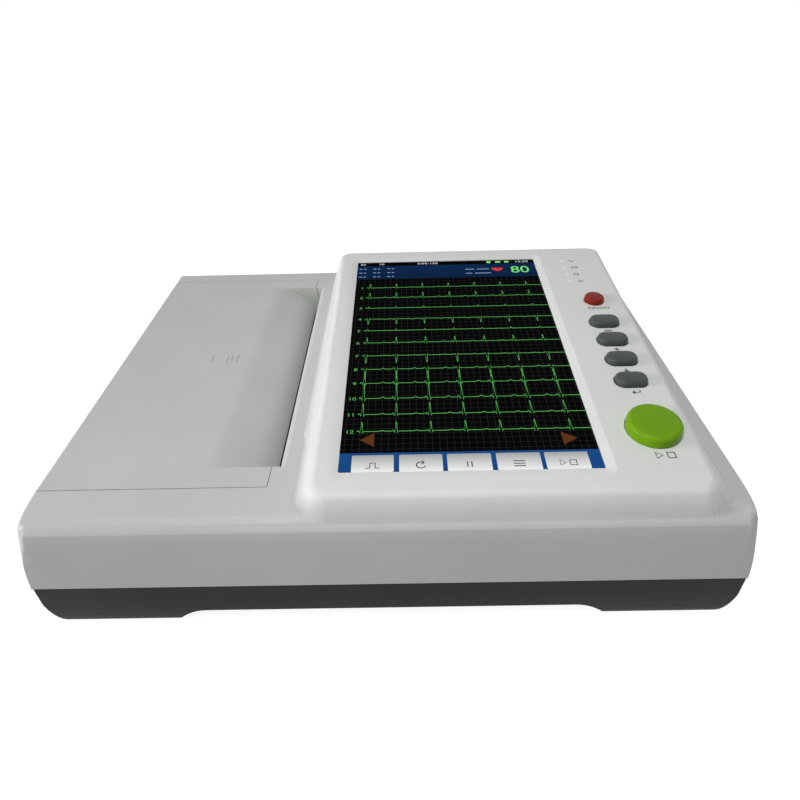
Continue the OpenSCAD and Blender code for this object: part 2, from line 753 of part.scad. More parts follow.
module mains_inlet() color([0.07, 0.07, 0.07]) {
    difference() {
        union() {
            block(inlet_x - inlet_w / 2 - 1, inlet_x + inlet_w / 2 + 1, pad_y, pad_y + 2,
                socket_z - inlet_h / 2 - 1, socket_z + inlet_h / 2 + 1);
            block(inlet_x - inlet_w / 2 + 1.2, inlet_x + inlet_w / 2 - 1.2, pad_y - 20, pad_y,
                socket_z - inlet_h / 2 + 1.2, socket_z + inlet_h / 2 - 1.2);
        }
        translate([inlet_x, pad_y + 3, socket_z]) rotate([90, 0, 0]) linear_extrude(18)
            polygon([[-11.8, -7.6], [11.8, -7.6], [11.8, 4.2], [8.2, 7.6], [-8.2, 7.6], [-11.8, 4.2]]);
    }
    for (p = [[-7, -1], [0, 3], [7, -1]])
        block(inlet_x + p.x - 1, inlet_x + p.x + 1, pad_y - 16, pad_y - 4,
            socket_z + p.y - 2.2, socket_z + p.y + 2.2);
}

module fuse_holders() color([0.07, 0.07, 0.07]) {
    for (x = fuse_x) difference() {
        union() {
            bar(x, socket_z, pad_y, pad_y + 2, 7.4);
            bar(x, socket_z, pad_y - 22, pad_y, 6);
        }
        block(x - 4.5, x + 4.5, pad_y + 1.2, pad_y + 3, socket_z - 0.6, socket_z + 0.6);
    }
}

module mains_switch_frame() color([0.07, 0.07, 0.07]) {
    difference() {
        union() {
            block(switch_x - rocker_w / 2 - 2.4, switch_x + rocker_w / 2 + 2.4, pad_y, pad_y + 1.4,
                socket_z - rocker_h / 2 - 2.4, socket_z + rocker_h / 2 + 2.4);
            block(switch_x - rocker_w / 2 - 1, switch_x + rocker_w / 2 + 1, pad_y - 16, pad_y,
                socket_z - rocker_h / 2 - 1, socket_z + rocker_h / 2 + 1);
        }
        block(switch_x - rocker_w / 2, switch_x + rocker_w / 2, pad_y - 11, pad_y + 2,
            socket_z - rocker_h / 2, socket_z + rocker_h / 2);
        translate([switch_x - rocker_w / 2 - 0.6, pad_y - 5, socket_z]) rotate([0, 90, 0])
            cylinder(h = rocker_w + 1.2, r = 1.5 + run);
    }
}

// the rocker sits in the off position, its upper edge out
module mains_rocker() color([0.1, 0.1, 0.1]) {
    half = rocker_h / 2 - 1.3;
    translate([switch_x, pad_y - 5, socket_z]) rotate([0, 90, 0]) {
        translate([0, 0, -rocker_w / 2 + seat]) linear_extrude(rocker_w - 2 * seat)
            polygon([[-half, 4.9], [0.4 - half, 5.7], [0, 4], [half - 0.4, 2.9], [half, 2],
                [3.6, -3.4], [-3.6, -3.4]]);
        translate([0, 0, -rocker_w / 2 - 0.5]) cylinder(h = rocker_w + 1, r = 1.5);
    }
}

module earth_post() color([0.8, 0.78, 0.7]) {
    base_y = pad_y - earth_cup_d;
    bar(earth_x, socket_z, base_y - wall - 5, back_y - 0.8, earth_r);
    translate([earth_x, base_y + 1.6, socket_z]) rotate([90, 0, 0]) cylinder(h = 1.6, r = 5, $fn = 6);
    translate([earth_x, base_y - wall - 0.1, socket_z]) rotate([90, 0, 0])
        cylinder(h = 2.2, r = 5, $fn = 6);
}

module ecg_socket() color([0.75, 0.76, 0.78]) {
    difference() {
        union() {
            block(pad_x, pad_x + 1, ecg_y - 19.6, ecg_y + 19.6, socket_z - 6.2, socket_z + 6.2);
            block(pad_x - 8, pad_x, ecg_y - 12, ecg_y + 12, socket_z - 5.2, socket_z + 5.2);
            translate([pad_x, ecg_y, socket_z]) rotate([90, 0, 90]) linear_extrude(2)
                polygon([[-12, 4.2], [12, 4.2], [10.4, -4.2], [-10.4, -4.2]]);
        }
        for (r = [-1, 1], k = [-3 : 3]) translate([pad_x - 3, ecg_y + k * 2.76 + (r > 0 ? 0 : 1.38) * 0.9,
            socket_z + r * 1.5]) rotate([0, 90, 0]) cylinder(h = 6, r = 0.6, $fn = 16);
    }
    for (s = [-1, 1]) translate([pad_x + 1, ecg_y + s * 16.6, socket_z]) rotate([0, 90, 0])
        cylinder(h = 1.2, r = 2.6, $fn = 6);
    block(pad_x - 22, pad_x - 8, ecg_y - 12, ecg_y + 12, board_z + board_t, socket_z + 5.2);
}

module usb_port() color([0.8, 0.81, 0.82]) {
    z0 = board_z + board_t;
    difference() {
        block(pad_x - 18, pad_x + 0.6, usb_y - 7, usb_y + 7, z0, z0 + 7);
        block(pad_x - 10, pad_x + 2, usb_y - 6.2, usb_y + 6.2, z0 + 0.8, z0 + 6.2);
    }
    block(pad_x - 11, pad_x - 0.4, usb_y - 5.6, usb_y + 5.6, z0 + 3.4, z0 + 5.2);
}

module speaker() color([0.12, 0.12, 0.12]) {
    translate([75, front_y + 48, arch_floor]) {
        cylinder(h = 2, r = 20);
        translate([0, 0, 2]) cylinder(h = 5, r1 = 18, r2 = 11);
        translate([0, 0, 7]) cylinder(h = 4, r = 9);
    }
}

// ---- display ----

module touch_glass() color([0.05, 0.05, 0.06]) on_panel()
    block(lit_x0 - glass_border + 0.2, lit_x1 + glass_border - 0.2, lit_v - glass_border + 0.2,
        lit_v1 + glass_border - 0.2, lcd_h, glass_h);

module display_panel() color([0.3, 0.31, 0.33]) on_panel()
    block(lit_x0 - lcd_border, lit_x1 + lcd_border, lit_v - lcd_border + 1, lit_v1 + lcd_border,
        bracket_h, lcd_h);

module display_bracket() color(steel) on_panel() {
    x0 = lit_x0 - lcd_border - 2;
    x1 = lit_x1 + lcd_border + 2;
    v0 = lit_v - lcd_border + 0.6;
    v1 = lit_v1 + lcd_border + 0.6;
    difference() {
        block(x0, x1, v0, v1, bracket_h - bracket_t, bracket_h);
        for (i = [0, 1], j = [0 : 2]) slab(x0 + 12 + i * 70, x0 + 74 + i * 70,
            v0 + 12 + j * 70, v0 + 74 + j * 70, bracket_h - 2, bracket_h + 1, 6);
    }
    // folded edges that reach up to the panel's underside
    for (x = [x0, x1 - bracket_t]) block(x, x + bracket_t, v0 + 10, v1 - 10,
        bracket_h - bracket_t, -wall - 0.1);
}

module keypad_board() color([0.1, 0.4, 0.2]) on_panel()
    difference() {
        block(lit_x1 + 10.8, top_right - 3.4, 18, panel_l - 13, board_h - board_t, board_h);
        for (v = board_posts_v, x = [lit_x1 + 14.6, top_right - 7])
            translate([x, v, board_h - 3]) cylinder(h = 4, r = 1.2);
    }

module key_switches() color([0.1, 0.1, 0.1]) on_panel()
    for (v = concat(menu_v, [power_v, print_v])) translate([keys_x, v, board_h])
        difference() {
            translate([-switch_size / 2, -switch_size / 2, 0])
                cube([switch_size, switch_size, switch_h]);
            translate([0, 0, switch_h - 1.7 - key_travel - 0.3]) cylinder(h = 5, r = stem_r + seat);
        }

module light_pipes() color([0.85, 0.9, 0.85]) on_panel()
    for (v = light_v) translate([light_x, v, 0]) {
        translate([0, 0, board_h + 1]) cylinder(h = -board_h - 0.8, r = light_d / 2);
        translate([0, 0, board_h]) translate([-1.6, -0.8, 0]) cube([3.2, 1.6, 1]);
    }

// stem and flange shared by all keys
module key_stem(flange_w, flange_d) {
    pill(flange_w, flange_d, flange_h - 1, flange_h);
    translate([0, 0, stem_end]) cylinder(h = flange_h - stem_end, r = stem_r);
}

module menu_cap(v) on_panel() translate([keys_x, v, 0]) {
    intersection() {
        pill(key_w, key_d, flange_h - 0.5, key_h + 1);
        translate([0, 0, key_h - 46]) sphere(r = 46, $fn = 96);
    }
    key_stem(key_w + 2 * key_flange, key_d + 2 * key_flange);
}

// a round key turned from a profile with a crowned top and a rounded shoulder
module round_cap(v, d, h, crown, shoulder) on_panel() translate([keys_x, v, 0]) {
    r = d / 2;
    rotate_extrude() intersection() {
        union() {
            translate([0, flange_h - 0.5]) square([r, h - shoulder - flange_h + 0.5]);
            translate([0, h - shoulder - 0.01]) square([r - shoulder, shoulder]);
            translate([r - shoulder, h - shoulder]) circle(shoulder);
        }
        translate([0, h + crown - d * 2]) circle(d * 2, $fn = 128);
        translate([0, -20]) square([r + 1, 40]);
    }
    translate([0, 0, flange_h - 1]) cylinder(h = 1, r = r + key_flange);
    translate([0, 0, stem_end]) cylinder(h = flange_h - stem_end, r = stem_r);
}

module power_key() color([0.62, 0.18, 0.15]) round_cap(power_v, power_d, key_h, 0, 1.4);
module menu_key() color([0.3, 0.32, 0.31]) menu_cap(menu_v[0]);
module up_key() color([0.3, 0.32, 0.31]) menu_cap(menu_v[1]);
module down_key() color([0.3, 0.32, 0.31]) menu_cap(menu_v[2]);
module enter_key() color([0.3, 0.32, 0.31]) menu_cap(menu_v[3]);
module print_key() color([0.42, 0.6, 0.12]) round_cap(print_v, print_d, print_h, 0, 2.4);

// ---- paper cover ----

module cover_cheek(y0) {
    translate([0, y0 + cheek_t, 0]) rotate([90, 0, 0]) linear_extrude(cheek_t)
        polygon([
            [scoop_x - 2, roof_z + 1], [scoop_x + 3, platen_z + 6], [platen_x - 7, platen_z - 6],
            [platen_x + 5, platen_z - 6], [free_x + 0.6, platen_z + 7], [free_x + 4, roof_z + 1]
        ]);
}

module paper_cover() color(cover_grey) {
    difference() {
        union() {
            difference() {
                intersection() {
                    body_skin();
                    union() {
                        intersection() {
                            bar(hinge_x, hinge_z, cover_front, cover_back, cover_r);
                            slab(left_x - 5, free_x + 3.2, cover_front, cover_back,
                                hinge_z, deck_h + 5, 4);
                        }
                        bar(hinge_x, hinge_z, cover_front, cover_back, barrel_r);
                    }
                }
                block(left_x + wall_in, free_x + 9, cover_front - 9, cover_back + 9,
                    split_h, roof_z);
                scoop_space(scoop_front, scoop_back);
            }
            intersection() {
                difference() {
                    bar(scoop_x, scoop_z, scoop_front, scoop_back, scoop_r);
                    bar(scoop_x, scoop_z, scoop_front - 1, scoop_back + 1, scoop_r - wall);
                }
                block(scoop_x - 3, free_x, scoop_front, scoop_back, scoop_tip_z, deck_h);
            }
            intersection() {
                union() {
                    cover_cheek(scoop_front - cheek_t);
                    cover_cheek(scoop_back);
                }
                bar(hinge_x, hinge_z, cover_front, cover_back, cover_r);
            }
            bar(hinge_x, hinge_z, cover_front, cover_back, barrel_r);
            // web from the barrel to the skirt
            block(hinge_x - barrel_r + 0.2, left_x + wall_in + 1, cover_front, cover_back,
                hinge_z, hinge_z + barrel_r + 1);
        }
        bar(hinge_x, hinge_z, cover_front - 9, cover_back + 9, hinge_pin_d / 2 + run);
        for (y = knuckle_y) bar(hinge_x, hinge_z, y - knuckle_l / 2, y + knuckle_l / 2,
            barrel_r + 2.8);
        bar(platen_x, platen_z, scoop_front - 9, scoop_back + 9, shaft_d / 2 + 2);
    }
}

module hinge_pin() color(steel)
    bar(hinge_x, hinge_z, cover_front + 1, cover_back - 1, hinge_pin_d / 2);

module platen_bearings() color([0.85, 0.8, 0.6]) {
    for (y = [scoop_front - cheek_t, scoop_back]) difference() {
        union() {
            bar(platen_x, platen_z, y - 0.4, y + cheek_t + 0.4, shaft_d / 2 + 1.98);
        }
        bar(platen_x, platen_z, y - 1, y + cheek_t + 1, shaft_d / 2 + run);
    }
}

// ---- platen and drive ----

// one gear tooth is a trapezium, narrower at the tip, with play on both flanks
module gear_shape(teeth, phase) {
    rp = gear_m * teeth / 2;
    rr = rp - 1.25 * gear_m;
    ra = rp + 0.9 * gear_m;
    half = (PI * gear_m / 2 - backlash) / 2;
    ang = function (r, s) s / r * 180 / PI;
    root = ang(rr, half + 1.25 * gear_m * tan(20));
    tip = ang(ra, half - 0.9 * gear_m * tan(20));
    polygon([for (i = [0 : teeth - 1]) let (a = phase + 360 * i / teeth) each [
        rr * [cos(a - root), sin(a - root)],
        rp * [cos(a - ang(rp, half)), sin(a - ang(rp, half))],
        ra * [cos(a - tip), sin(a - tip)],
        ra * [cos(a + tip), sin(a + tip)],
        rp * [cos(a + ang(rp, half)), sin(a + ang(rp, half))],
        rr * [cos(a + root), sin(a + root)]
    ]]);
}

// a gear on an axis along Y, seen from the front
module gear(x, z, teeth, phase, bore) {
    translate([x, gear_y + gear_w, z]) rotate([90, 0, 0]) linear_extrude(gear_w) difference() {
        gear_shape(teeth, phase);
        circle(bore);
    }
}

module platen_shaft() color(steel)
    bar(platen_x, platen_z, front_plate_y + plate_t + seat, gear_y + gear_w + 0.6, shaft_d / 2);

module platen_roller() color([0.12, 0.12, 0.12]) difference() {
    bar(platen_x, platen_z, scoop_front + 1.2, scoop_back - 1.2, platen_r);
    bar(platen_x, platen_z, scoop_front, scoop_back, shaft_d / 2);
}

module platen_gear() color([0.9, 0.9, 0.86])
    gear(platen_x, platen_z, platen_teeth, -90, shaft_d / 2);

module idler_gear() color([0.9, 0.9, 0.86])
    gear(platen_x, idler_z, idler_teeth, idler_phase, axle_r + run);

module idler_axle() color(steel) {
    bar(platen_x, idler_z, gear_y - 0.6, back_plate_y, axle_r);
    bar(platen_x, idler_z, gear_y - 0.6, gear_y - seat, axle_r + 1);
}

module motor_pinion() color([0.8, 0.68, 0.4])
    gear(pinion_x, pinion_z, pinion_teeth, pinion_phase, motor_shaft_r);

module motor_shaft() color(steel)
    bar(pinion_x, pinion_z, gear_y - 0.8, back_plate_y + plate_t + 6, motor_shaft_r);

module paper_motor() color([0.6, 0.61, 0.63]) {
    y0 = back_plate_y + plate_t;
    difference() {
        union() {
            bar(pinion_x, pinion_z, y0, y0 + motor_l, motor_r);
            bar(pinion_x, pinion_z, back_plate_y + 0.1, y0, 4);
        }
        bar(pinion_x, pinion_z, back_plate_y - 1, y0 + 7, motor_shaft_r + run);
    }
}

module printer_chassis() color(steel) {
    back_edge = back_plate_y + plate_t;
    difference() {
        union() {
            block(chassis_x0, chassis_x1, front_plate_y, back_edge, chassis_z, chassis_z + plate_t);
            for (y = [front_plate_y, back_plate_y])
                block(chassis_x0, chassis_x1, y, y + plate_t, chassis_z, chassis_top);
            // upright flange behind the print head
            block(head_stop_x, head_stop_x + plate_t, front_plate_y, back_edge, chassis_z,
                head_z0 + head_h);
        }
        // window for the gears' lower edge, and the motor's bearing boss
        bar(pinion_x, pinion_z, back_plate_y - 1, back_edge + 1, 4.02);
        block(head_stop_x - 1, head_stop_x + 3, gear_y - 2, back_plate_y, chassis_z + 4, chassis_top);
        bar(platen_x, platen_z, front_plate_y - 1, front_plate_y + plate_t + 1, 6);
        block(platen_x - 6, platen_x + 6, front_plate_y - 1, front_plate_y + plate_t + 1,
            platen_z, chassis_top + 1);
    }
}

// forks that hold the ends of the platen's shaft while the cover is shut
module latch_forks() color(steel) {
    w = shaft_d + 2 * seat;
    for (y = [scoop_front - cheek_t - 2.6, scoop_back + cheek_t + 0.4]) difference() {
        block(platen_x - w / 2 - 2, platen_x + w / 2 + 2, y, y + 1.2,
            chassis_z + plate_t, platen_z + 4);
        block(platen_x - w / 2, platen_x + w / 2, y - 1, y + 2, platen_z, platen_z + 5);
        bar(platen_x, platen_z, y - 1, y + 2, w / 2);
    }
}

module print_head() color([0.92, 0.92, 0.9])
    block(head_x, head_x + ceramic_t, scoop_front + 1, scoop_back - 1, head_z0, head_z0 + head_h);

module head_heatsink() color([0.6, 0.62, 0.64]) {
    x0 = head_x + ceramic_t;
    difference() {
        block(x0, x0 + sink_t, scoop_front + 1, scoop_back - 1, head_z0 + 1, head_z0 + head_h - 1);
        for (y = spring_y) translate([spring_x - 3.4, y, platen_z]) rotate([0, 90, 0])
            cylinder(h = 4, r = guide_r + run);
    }
}

// pins on the chassis that guide the head and hold its springs in line
module head_guides() color(steel)
    for (y = spring_y) translate([spring_x - 2.2, y, platen_z]) rotate([0, 90, 0])
        cylinder(h = head_stop_x - spring_x + 2.2, r = guide_r);

// coil springs behind the head, each a pile of rings joined by a thin core
module head_springs() color(steel) {
    for (y = spring_y) translate([spring_x, y, platen_z])
        rotate([0, 90, 0]) {
            for (i = [0 : 3]) translate([0, 0, 0.5 + i * 1.1]) rotate_extrude()
                translate([spring_r - 0.5, 0]) circle(0.5);
            rotate_extrude() translate([spring_r - 0.7, 0]) square([0.4, spring_l - 0.4]);
        }
}

// ---- paper ----

module paper_tray() color([0.25, 0.26, 0.26]) {
    cradle = spindle_r + run;
    block(tray_x0, tray_x1, tray_front, tray_back, tray_z, tray_z + tray_t);
    block(tray_x0, tray_x0 + tray_t, tray_front, tray_back, tray_z, tray_z + 22);
    block(tray_x1 - tray_t, tray_x1, tray_front, tray_back, tray_z, tray_z + 10);
    for (y = [tray_front, tray_back - tray_t]) difference() {
        block(tray_x0, tray_x1, y, y + tray_t, tray_z, roll_z + 6);
        block(roll_x - cradle, roll_x + cradle, y - 1, y + tray_t + 1, roll_z, roll_z + 7);
        bar(roll_x, roll_z, y - 1, y + tray_t + 1, cradle);
        block(roll_x + 16, tray_x1 + 1, y - 1, y + tray_t + 1, roll_z - 8, roll_z + 7);
    }
}

module roll_tube(r0, r1) difference() {
    bar(roll_x, roll_z, cover_y - paper_w / 2, cover_y + paper_w / 2, r1);
    bar(roll_x, roll_z, cover_y - paper_w, cover_y + paper_w, r0);
}

module paper_roll() color([0.96, 0.95, 0.93]) roll_tube(core_r, roll_r);
module roll_core() color([0.7, 0.6, 0.45]) roll_tube(core_r - 1.5, core_r);

module roll_spindle() color([0.3, 0.3, 0.3]) {
    bar(roll_x, roll_z, tray_front - 1.5, tray_back + 1.5, spindle_r);
    bar(roll_x, roll_z, cover_y - paper_w / 2 + 4, cover_y + paper_w / 2 - 4, core_r - 1.5);
    for (y = [cover_y - paper_w / 2 - 2, cover_y + paper_w / 2]) bar(roll_x, roll_z, y, y + 2, 13);
}

base_shell();
top_housing();
rubber_feet();
case_screws();
battery_door();
battery_pack();
main_board();
power_module();
mains_inlet();
fuse_holders();
mains_switch_frame();
mains_rocker();
earth_post();
ecg_socket();
usb_port();
speaker();
touch_glass();
display_panel();
display_bracket();
keypad_board();
key_switches();
light_pipes();
power_key();
menu_key();
up_key();
down_key();
enter_key();
print_key();
paper_cover();
hinge_pin();
platen_bearings();
platen_shaft();
platen_roller();
platen_gear();
printer_chassis();
latch_forks();
idler_axle();
idler_gear();
paper_motor();
motor_shaft();
motor_pinion();
print_head();
head_heatsink();
head_springs();
head_guides();
paper_tray();
paper_roll();
roll_core();
roll_spindle();
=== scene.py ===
import math
import bpy
from mathutils import Matrix, Vector


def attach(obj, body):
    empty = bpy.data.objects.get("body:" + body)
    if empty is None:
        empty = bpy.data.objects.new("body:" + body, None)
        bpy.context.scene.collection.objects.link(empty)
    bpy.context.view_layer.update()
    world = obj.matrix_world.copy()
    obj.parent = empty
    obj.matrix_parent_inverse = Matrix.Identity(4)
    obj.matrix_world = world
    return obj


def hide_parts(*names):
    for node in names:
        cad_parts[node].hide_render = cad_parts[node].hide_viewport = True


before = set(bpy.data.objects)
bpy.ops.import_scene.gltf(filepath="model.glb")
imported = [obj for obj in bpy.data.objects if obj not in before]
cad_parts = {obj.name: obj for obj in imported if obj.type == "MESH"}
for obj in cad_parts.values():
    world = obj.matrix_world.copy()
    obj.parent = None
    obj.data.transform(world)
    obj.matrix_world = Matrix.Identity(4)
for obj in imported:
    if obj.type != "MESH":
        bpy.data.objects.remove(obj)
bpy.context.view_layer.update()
mm = 0.001

# the tilted panel of the hump: x as on the body, v up the slope, h out of it
panel = {"foot": (0.0, -133.0, 79.7), "tilt": 5.0, "glass": -2.0}
panelPlace = (Matrix.Translation(Vector(panel["foot"]) * mm)
              @ Matrix.Rotation(math.radians(panel["tilt"]), 4, "X"))


def deselect():
    if bpy.context.object and bpy.context.object.mode != "OBJECT":
        bpy.ops.object.mode_set(mode="OBJECT")
    bpy.ops.object.select_all(action="DESELECT")


def pick(piece):
    deselect()
    piece.select_set(True)
    bpy.context.view_layer.objects.active = piece


def edit(piece):
    pick(piece)
    bpy.ops.object.mode_set(mode="EDIT")


def selectWhere(piece, kind, test):
    # selects faces, edges or vertices of the piece in edit mode by a test on their middle and normal
    bpy.ops.mesh.select_mode(type=kind)
    bpy.ops.mesh.select_all(action="DESELECT")
    bpy.ops.object.mode_set(mode="OBJECT")
    mesh = piece.data
    if kind == "FACE":
        for face in mesh.polygons:
            face.select = test(face.center, face.normal)
    elif kind == "EDGE":
        for edge in mesh.edges:
            a, b = (mesh.vertices[i].co for i in edge.vertices)
            edge.select = test((a + b) / 2, b - a)
    else:
        for vertex in mesh.vertices:
            vertex.select = test(vertex.co, vertex.normal)
    bpy.ops.object.mode_set(mode="EDIT")


def settle(piece, place=None):
    # leaves the object at the origin with its place in its mesh
    pick(piece)
    if place is not None:
        piece.matrix_world = place @ piece.matrix_world
    bpy.ops.object.transform_apply(location=True, rotation=True, scale=True)
    return piece


def dress(piece, name, body, slotName, finish, *nodes):
    piece.name = name
    piece.data.name = name
    piece.data.materials.clear()
    piece.data.materials.append(finish)
    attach(piece, body)
    if nodes:
        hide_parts(*nodes)
    return piece


def addModifier(piece, kind, **settings):
    pick(piece)
    modifier = piece.modifiers.new(kind.lower(), kind)
    for key, value in settings.items():
        setattr(modifier, key, value)
    bpy.ops.object.modifier_apply(modifier=modifier.name)


def colour(hexText):
    # sRGB hex to linear
    parts = [int(hexText[i:i + 2], 16) / 255 for i in (1, 3, 5)]
    return tuple(c / 12.92 if c <= 0.04045 else ((c + 0.055) / 1.055) ** 2.4
                 for c in parts) + (1.0,)


def addNode(tree, kind, settings=None, links=None):
    node = tree.nodes.new(kind)
    for key, value in (settings or {}).items():
        if isinstance(key, int) or key in node.inputs:
            node.inputs[key].default_value = value
        else:
            setattr(node, key, value)
    for key, source in (links or {}).items():
        tree.links.new(source, node.inputs[key])
    return node


# what each finish is and what that gives the eye; grain and patch are in millimetres
looks = {
    # ABS moulded in a spark-eroded tool: even, dry satin with a fine stipple; the height list gives
    # painted shade, the shares by which the deck and the walls are painted darker than the hump top,
    # where less light falls on them
    "mouldedPaleAbs": {"shades": ("#DADCD9", "#D6D8D5"), "rough": 0.46, "shine": 0.3, "grain": 1.1,
                       "depth": 0.035, "patch": 70,
                       "paintedShadeByHeight": ((60, 0.89), (68, 0.78), (71, 0.78), (78, 1.0))},
    # the same ABS on the cover, with painted shade that makes it greyer than the hump top, as dark as the
    # deck
    "mouldedGreyAbs": {"shades": ("#C2C5C1", "#BEC1BD"), "rough": 0.5, "shine": 0.3, "grain": 1.1,
                       "depth": 0.04, "patch": 60},
    # black-grey ABS of the base, coarser texture and a low sheen
    "mouldedDarkAbs": {"shades": ("#2C2F31", "#282B2D"), "rough": 0.5, "shine": 0.12, "grain": 1.3,
                       "depth": 0.06, "patch": 50},
    # slate-grey key caps, polished by fingers
    "mouldedSlateKey": {"shades": ("#444B48", "#3F4643"), "rough": 0.36, "shine": 0.2, "grain": 0.9,
                        "depth": 0.03, "patch": 9},
    "mouldedRedKey": {"shades": ("#802115", "#781E12"), "rough": 0.34, "shine": 0.12, "grain": 0.8,
                      "depth": 0.02, "patch": 8},
    "mouldedGreenKey": {"shades": ("#6D9C0A", "#679407"), "rough": 0.32, "shine": 0.12, "grain": 0.9,
                        "depth": 0.02, "patch": 16},
    # glass-filled black nylon of connectors: semi-matt with a faint flow pattern
    "blackNylon": {"shades": ("#1C1D1E", "#242526"), "rough": 0.42, "grain": 0.8, "depth": 0.04,
                   "patch": 12},
    # acetal of the gears and bearings: waxy off-white
    "acetal": {"shades": ("#E6E2D4", "#DDD9CA"), "rough": 0.38, "grain": 0.7, "depth": 0.02,
               "patch": 10},
    # clear acrylic light pipe with a frosted top
    "frostedAcrylic": {"shades": ("#F1F4F2", "#E7EBE8"), "rough": 0.24, "grain": 0.4, "depth": 0.02,
                       "patch": 4},
    # moulded nitrile feet: dull black, faintly dusty
    "nitrileRubber": {"shades": ("#232423", "#2C2D2B"), "rough": 0.78, "grain": 1.0, "depth": 0.1,
                      "patch": 8},
    # ground silicone roller: smoky black with fine rings round it
    "groundSilicone": {"shades": ("#2A2A2D", "#343437"), "rough": 0.6, "grain": 0.6, "depth": 0.06,
                       "patch": 14, "stretch": (1, 6, 1)},
    # zinc-plated sheet: cool spangle, half bright
    "zincSheet": {"shades": ("#A9ADB1", "#BCC0C4"), "rough": 0.36, "metal": 1.0, "grain": 5.0,
                  "depth": 0.02, "patch": 6},
    # ground steel shafts: straight fine lines along the bar
    "groundSteel": {"shades": ("#C2C4C6", "#D0D2D4"), "rough": 0.24, "metal": 1.0, "grain": 0.5,
                    "depth": 0.02, "patch": 20, "stretch": (1, 0.05, 1)},
    # turned brass with tool rings
    "turnedBrass": {"shades": ("#C9A25A", "#BA934C"), "rough": 0.28, "metal": 1.0, "grain": 0.5,
                    "depth": 0.03, "patch": 8, "stretch": (1, 6, 1)},
    # nickel plate over brass: warm silver, worn at the crest
    "nickelPlate": {"shades": ("#C8C3B6", "#D6D1C4"), "rough": 0.22, "metal": 1.0, "grain": 0.5,
                    "depth": 0.02, "patch": 5},
    # extruded aluminium: drawn lines along its length
    "extrudedAluminium": {"shades": ("#C6C8CA", "#B9BBBE"), "rough": 0.34, "metal": 1.0, "grain": 0.8,
                          "depth": 0.04, "patch": 20, "stretch": (1, 0.04, 1)},
    # glazed ceramic of the print head
    "glazedCeramic": {"shades": ("#EDEBE4", "#E2E0D8"), "rough": 0.16, "grain": 0.9, "depth": 0.02,
                      "patch": 8},
    # solder resist over glass laminate: deep green, woven ripple under the gloss
    "solderResist": {"shades": ("#155A33", "#114A2A"), "rough": 0.3, "grain": 1.2, "depth": 0.05,
                     "patch": 7},
    # vinyl shrink sleeve: glossy blue, slightly wavy
    "shrinkSleeve": {"shades": ("#1D3F7C", "#183569"), "rough": 0.26, "grain": 7.0, "depth": 0.1,
                     "patch": 12},
    # thermal paper on the roll: smooth off-white with turns just visible at its ends
    "thermalPaper": {"shades": ("#F2F0EA", "#E6E4DC"), "rough": 0.62, "grain": 0.5, "depth": 0.05,
                     "patch": 3, "stretch": (1, 0.1, 1)},
    # wound board of the core: brown fibres
    "woundBoard": {"shades": ("#B08F67", "#9A7A54"), "rough": 0.85, "grain": 0.7, "depth": 0.2,
                   "patch": 2},
    # matt ink of the pad printing
    "printedInk": {"shades": ("#1E2120", "#191B1A"), "rough": 0.6, "grain": 0.6, "depth": 0.02,
                   "patch": 3},
}
finishes = {}


def mouldedFinish(name, look):
    # two close shades in soft patches, and a fine relief at the grain's own size
    finish = bpy.data.materials.new(name)
    finish.use_nodes = True
    tree = finish.node_tree
    tree.nodes.clear()
    place = addNode(tree, "ShaderNodeTexCoord").outputs["Object"]
    stretched = addNode(tree, "ShaderNodeMapping", {"Scale": look.get("stretch", (1, 1, 1))},
                        {"Vector": place})
    patches = addNode(tree, "ShaderNodeTexNoise",
                      {"Scale": 1 / (look["patch"] * mm), "Detail": 3.0, "Roughness": 0.55},
                      {"Vector": stretched.outputs[0]})
    shade = addNode(tree, "ShaderNodeValToRGB", None, {"Fac": patches.outputs[0]})
    shade.color_ramp.elements[0].position = 0.38
    shade.color_ramp.elements[0].color = colour(look["shades"][0])
    shade.color_ramp.elements[1].position = 0.62
    shade.color_ramp.elements[1].color = colour(look["shades"][1])
    base = shade.outputs[0]
    # painted shade: a darker colour by height on the deck and the walls, for light that falls less on
    # them than on the hump top
    if "paintedShadeByHeight" in look:
        low, high = look["paintedShadeByHeight"][0][0], look["paintedShadeByHeight"][-1][0]
        height = addNode(tree, "ShaderNodeSeparateXYZ", None, {"Vector": place})
        rise = addNode(tree, "ShaderNodeMapRange", {"From Min": low * mm, "From Max": high * mm},
                       {"Value": height.outputs[2]})
        paintedShadeRamp = addNode(tree, "ShaderNodeValToRGB", None, {"Fac": rise.outputs[0]})
        stops = paintedShadeRamp.color_ramp.elements
        for level, _ in look["paintedShadeByHeight"][1:-1]:
            stops.new((level - low) / (high - low))
        for stop, (_, share) in zip(stops, look["paintedShadeByHeight"]):
            stop.color = (share, share, share, 1)
        base = addNode(tree, "ShaderNodeVectorMath", {"operation": "MULTIPLY"},
                       {0: base, 1: paintedShadeRamp.outputs[0]}).outputs[0]
    grain = addNode(tree, "ShaderNodeTexNoise",
                    {"Scale": 1 / (look["grain"] * mm), "Detail": 2.0},
                    {"Vector": stretched.outputs[0]})
    relief = addNode(tree, "ShaderNodeBump",
                     {"Strength": min(1.0, look["depth"] * 4), "Distance": look["depth"] * mm},
                     {"Height": grain.outputs[0]})
    gloss = addNode(tree, "ShaderNodeMapRange",
                    {"To Min": look["rough"] * 0.92, "To Max": look["rough"] * 1.1},
                    {"Value": patches.outputs[0]})
    shader = addNode(tree, "ShaderNodeBsdfPrincipled", {"Metallic": look.get("metal", 0.0),
                      "Specular IOR Level": look.get("shine", 0.5)},
                     {"Base Color": base, "Roughness": gloss.outputs[0],
                      "Normal": relief.outputs[0]})
    addNode(tree, "ShaderNodeOutputMaterial", None, {"Surface": shader.outputs[0]})
    return finish


for lookName, look in looks.items():
    finishes[lookName] = mouldedFinish(lookName, look)


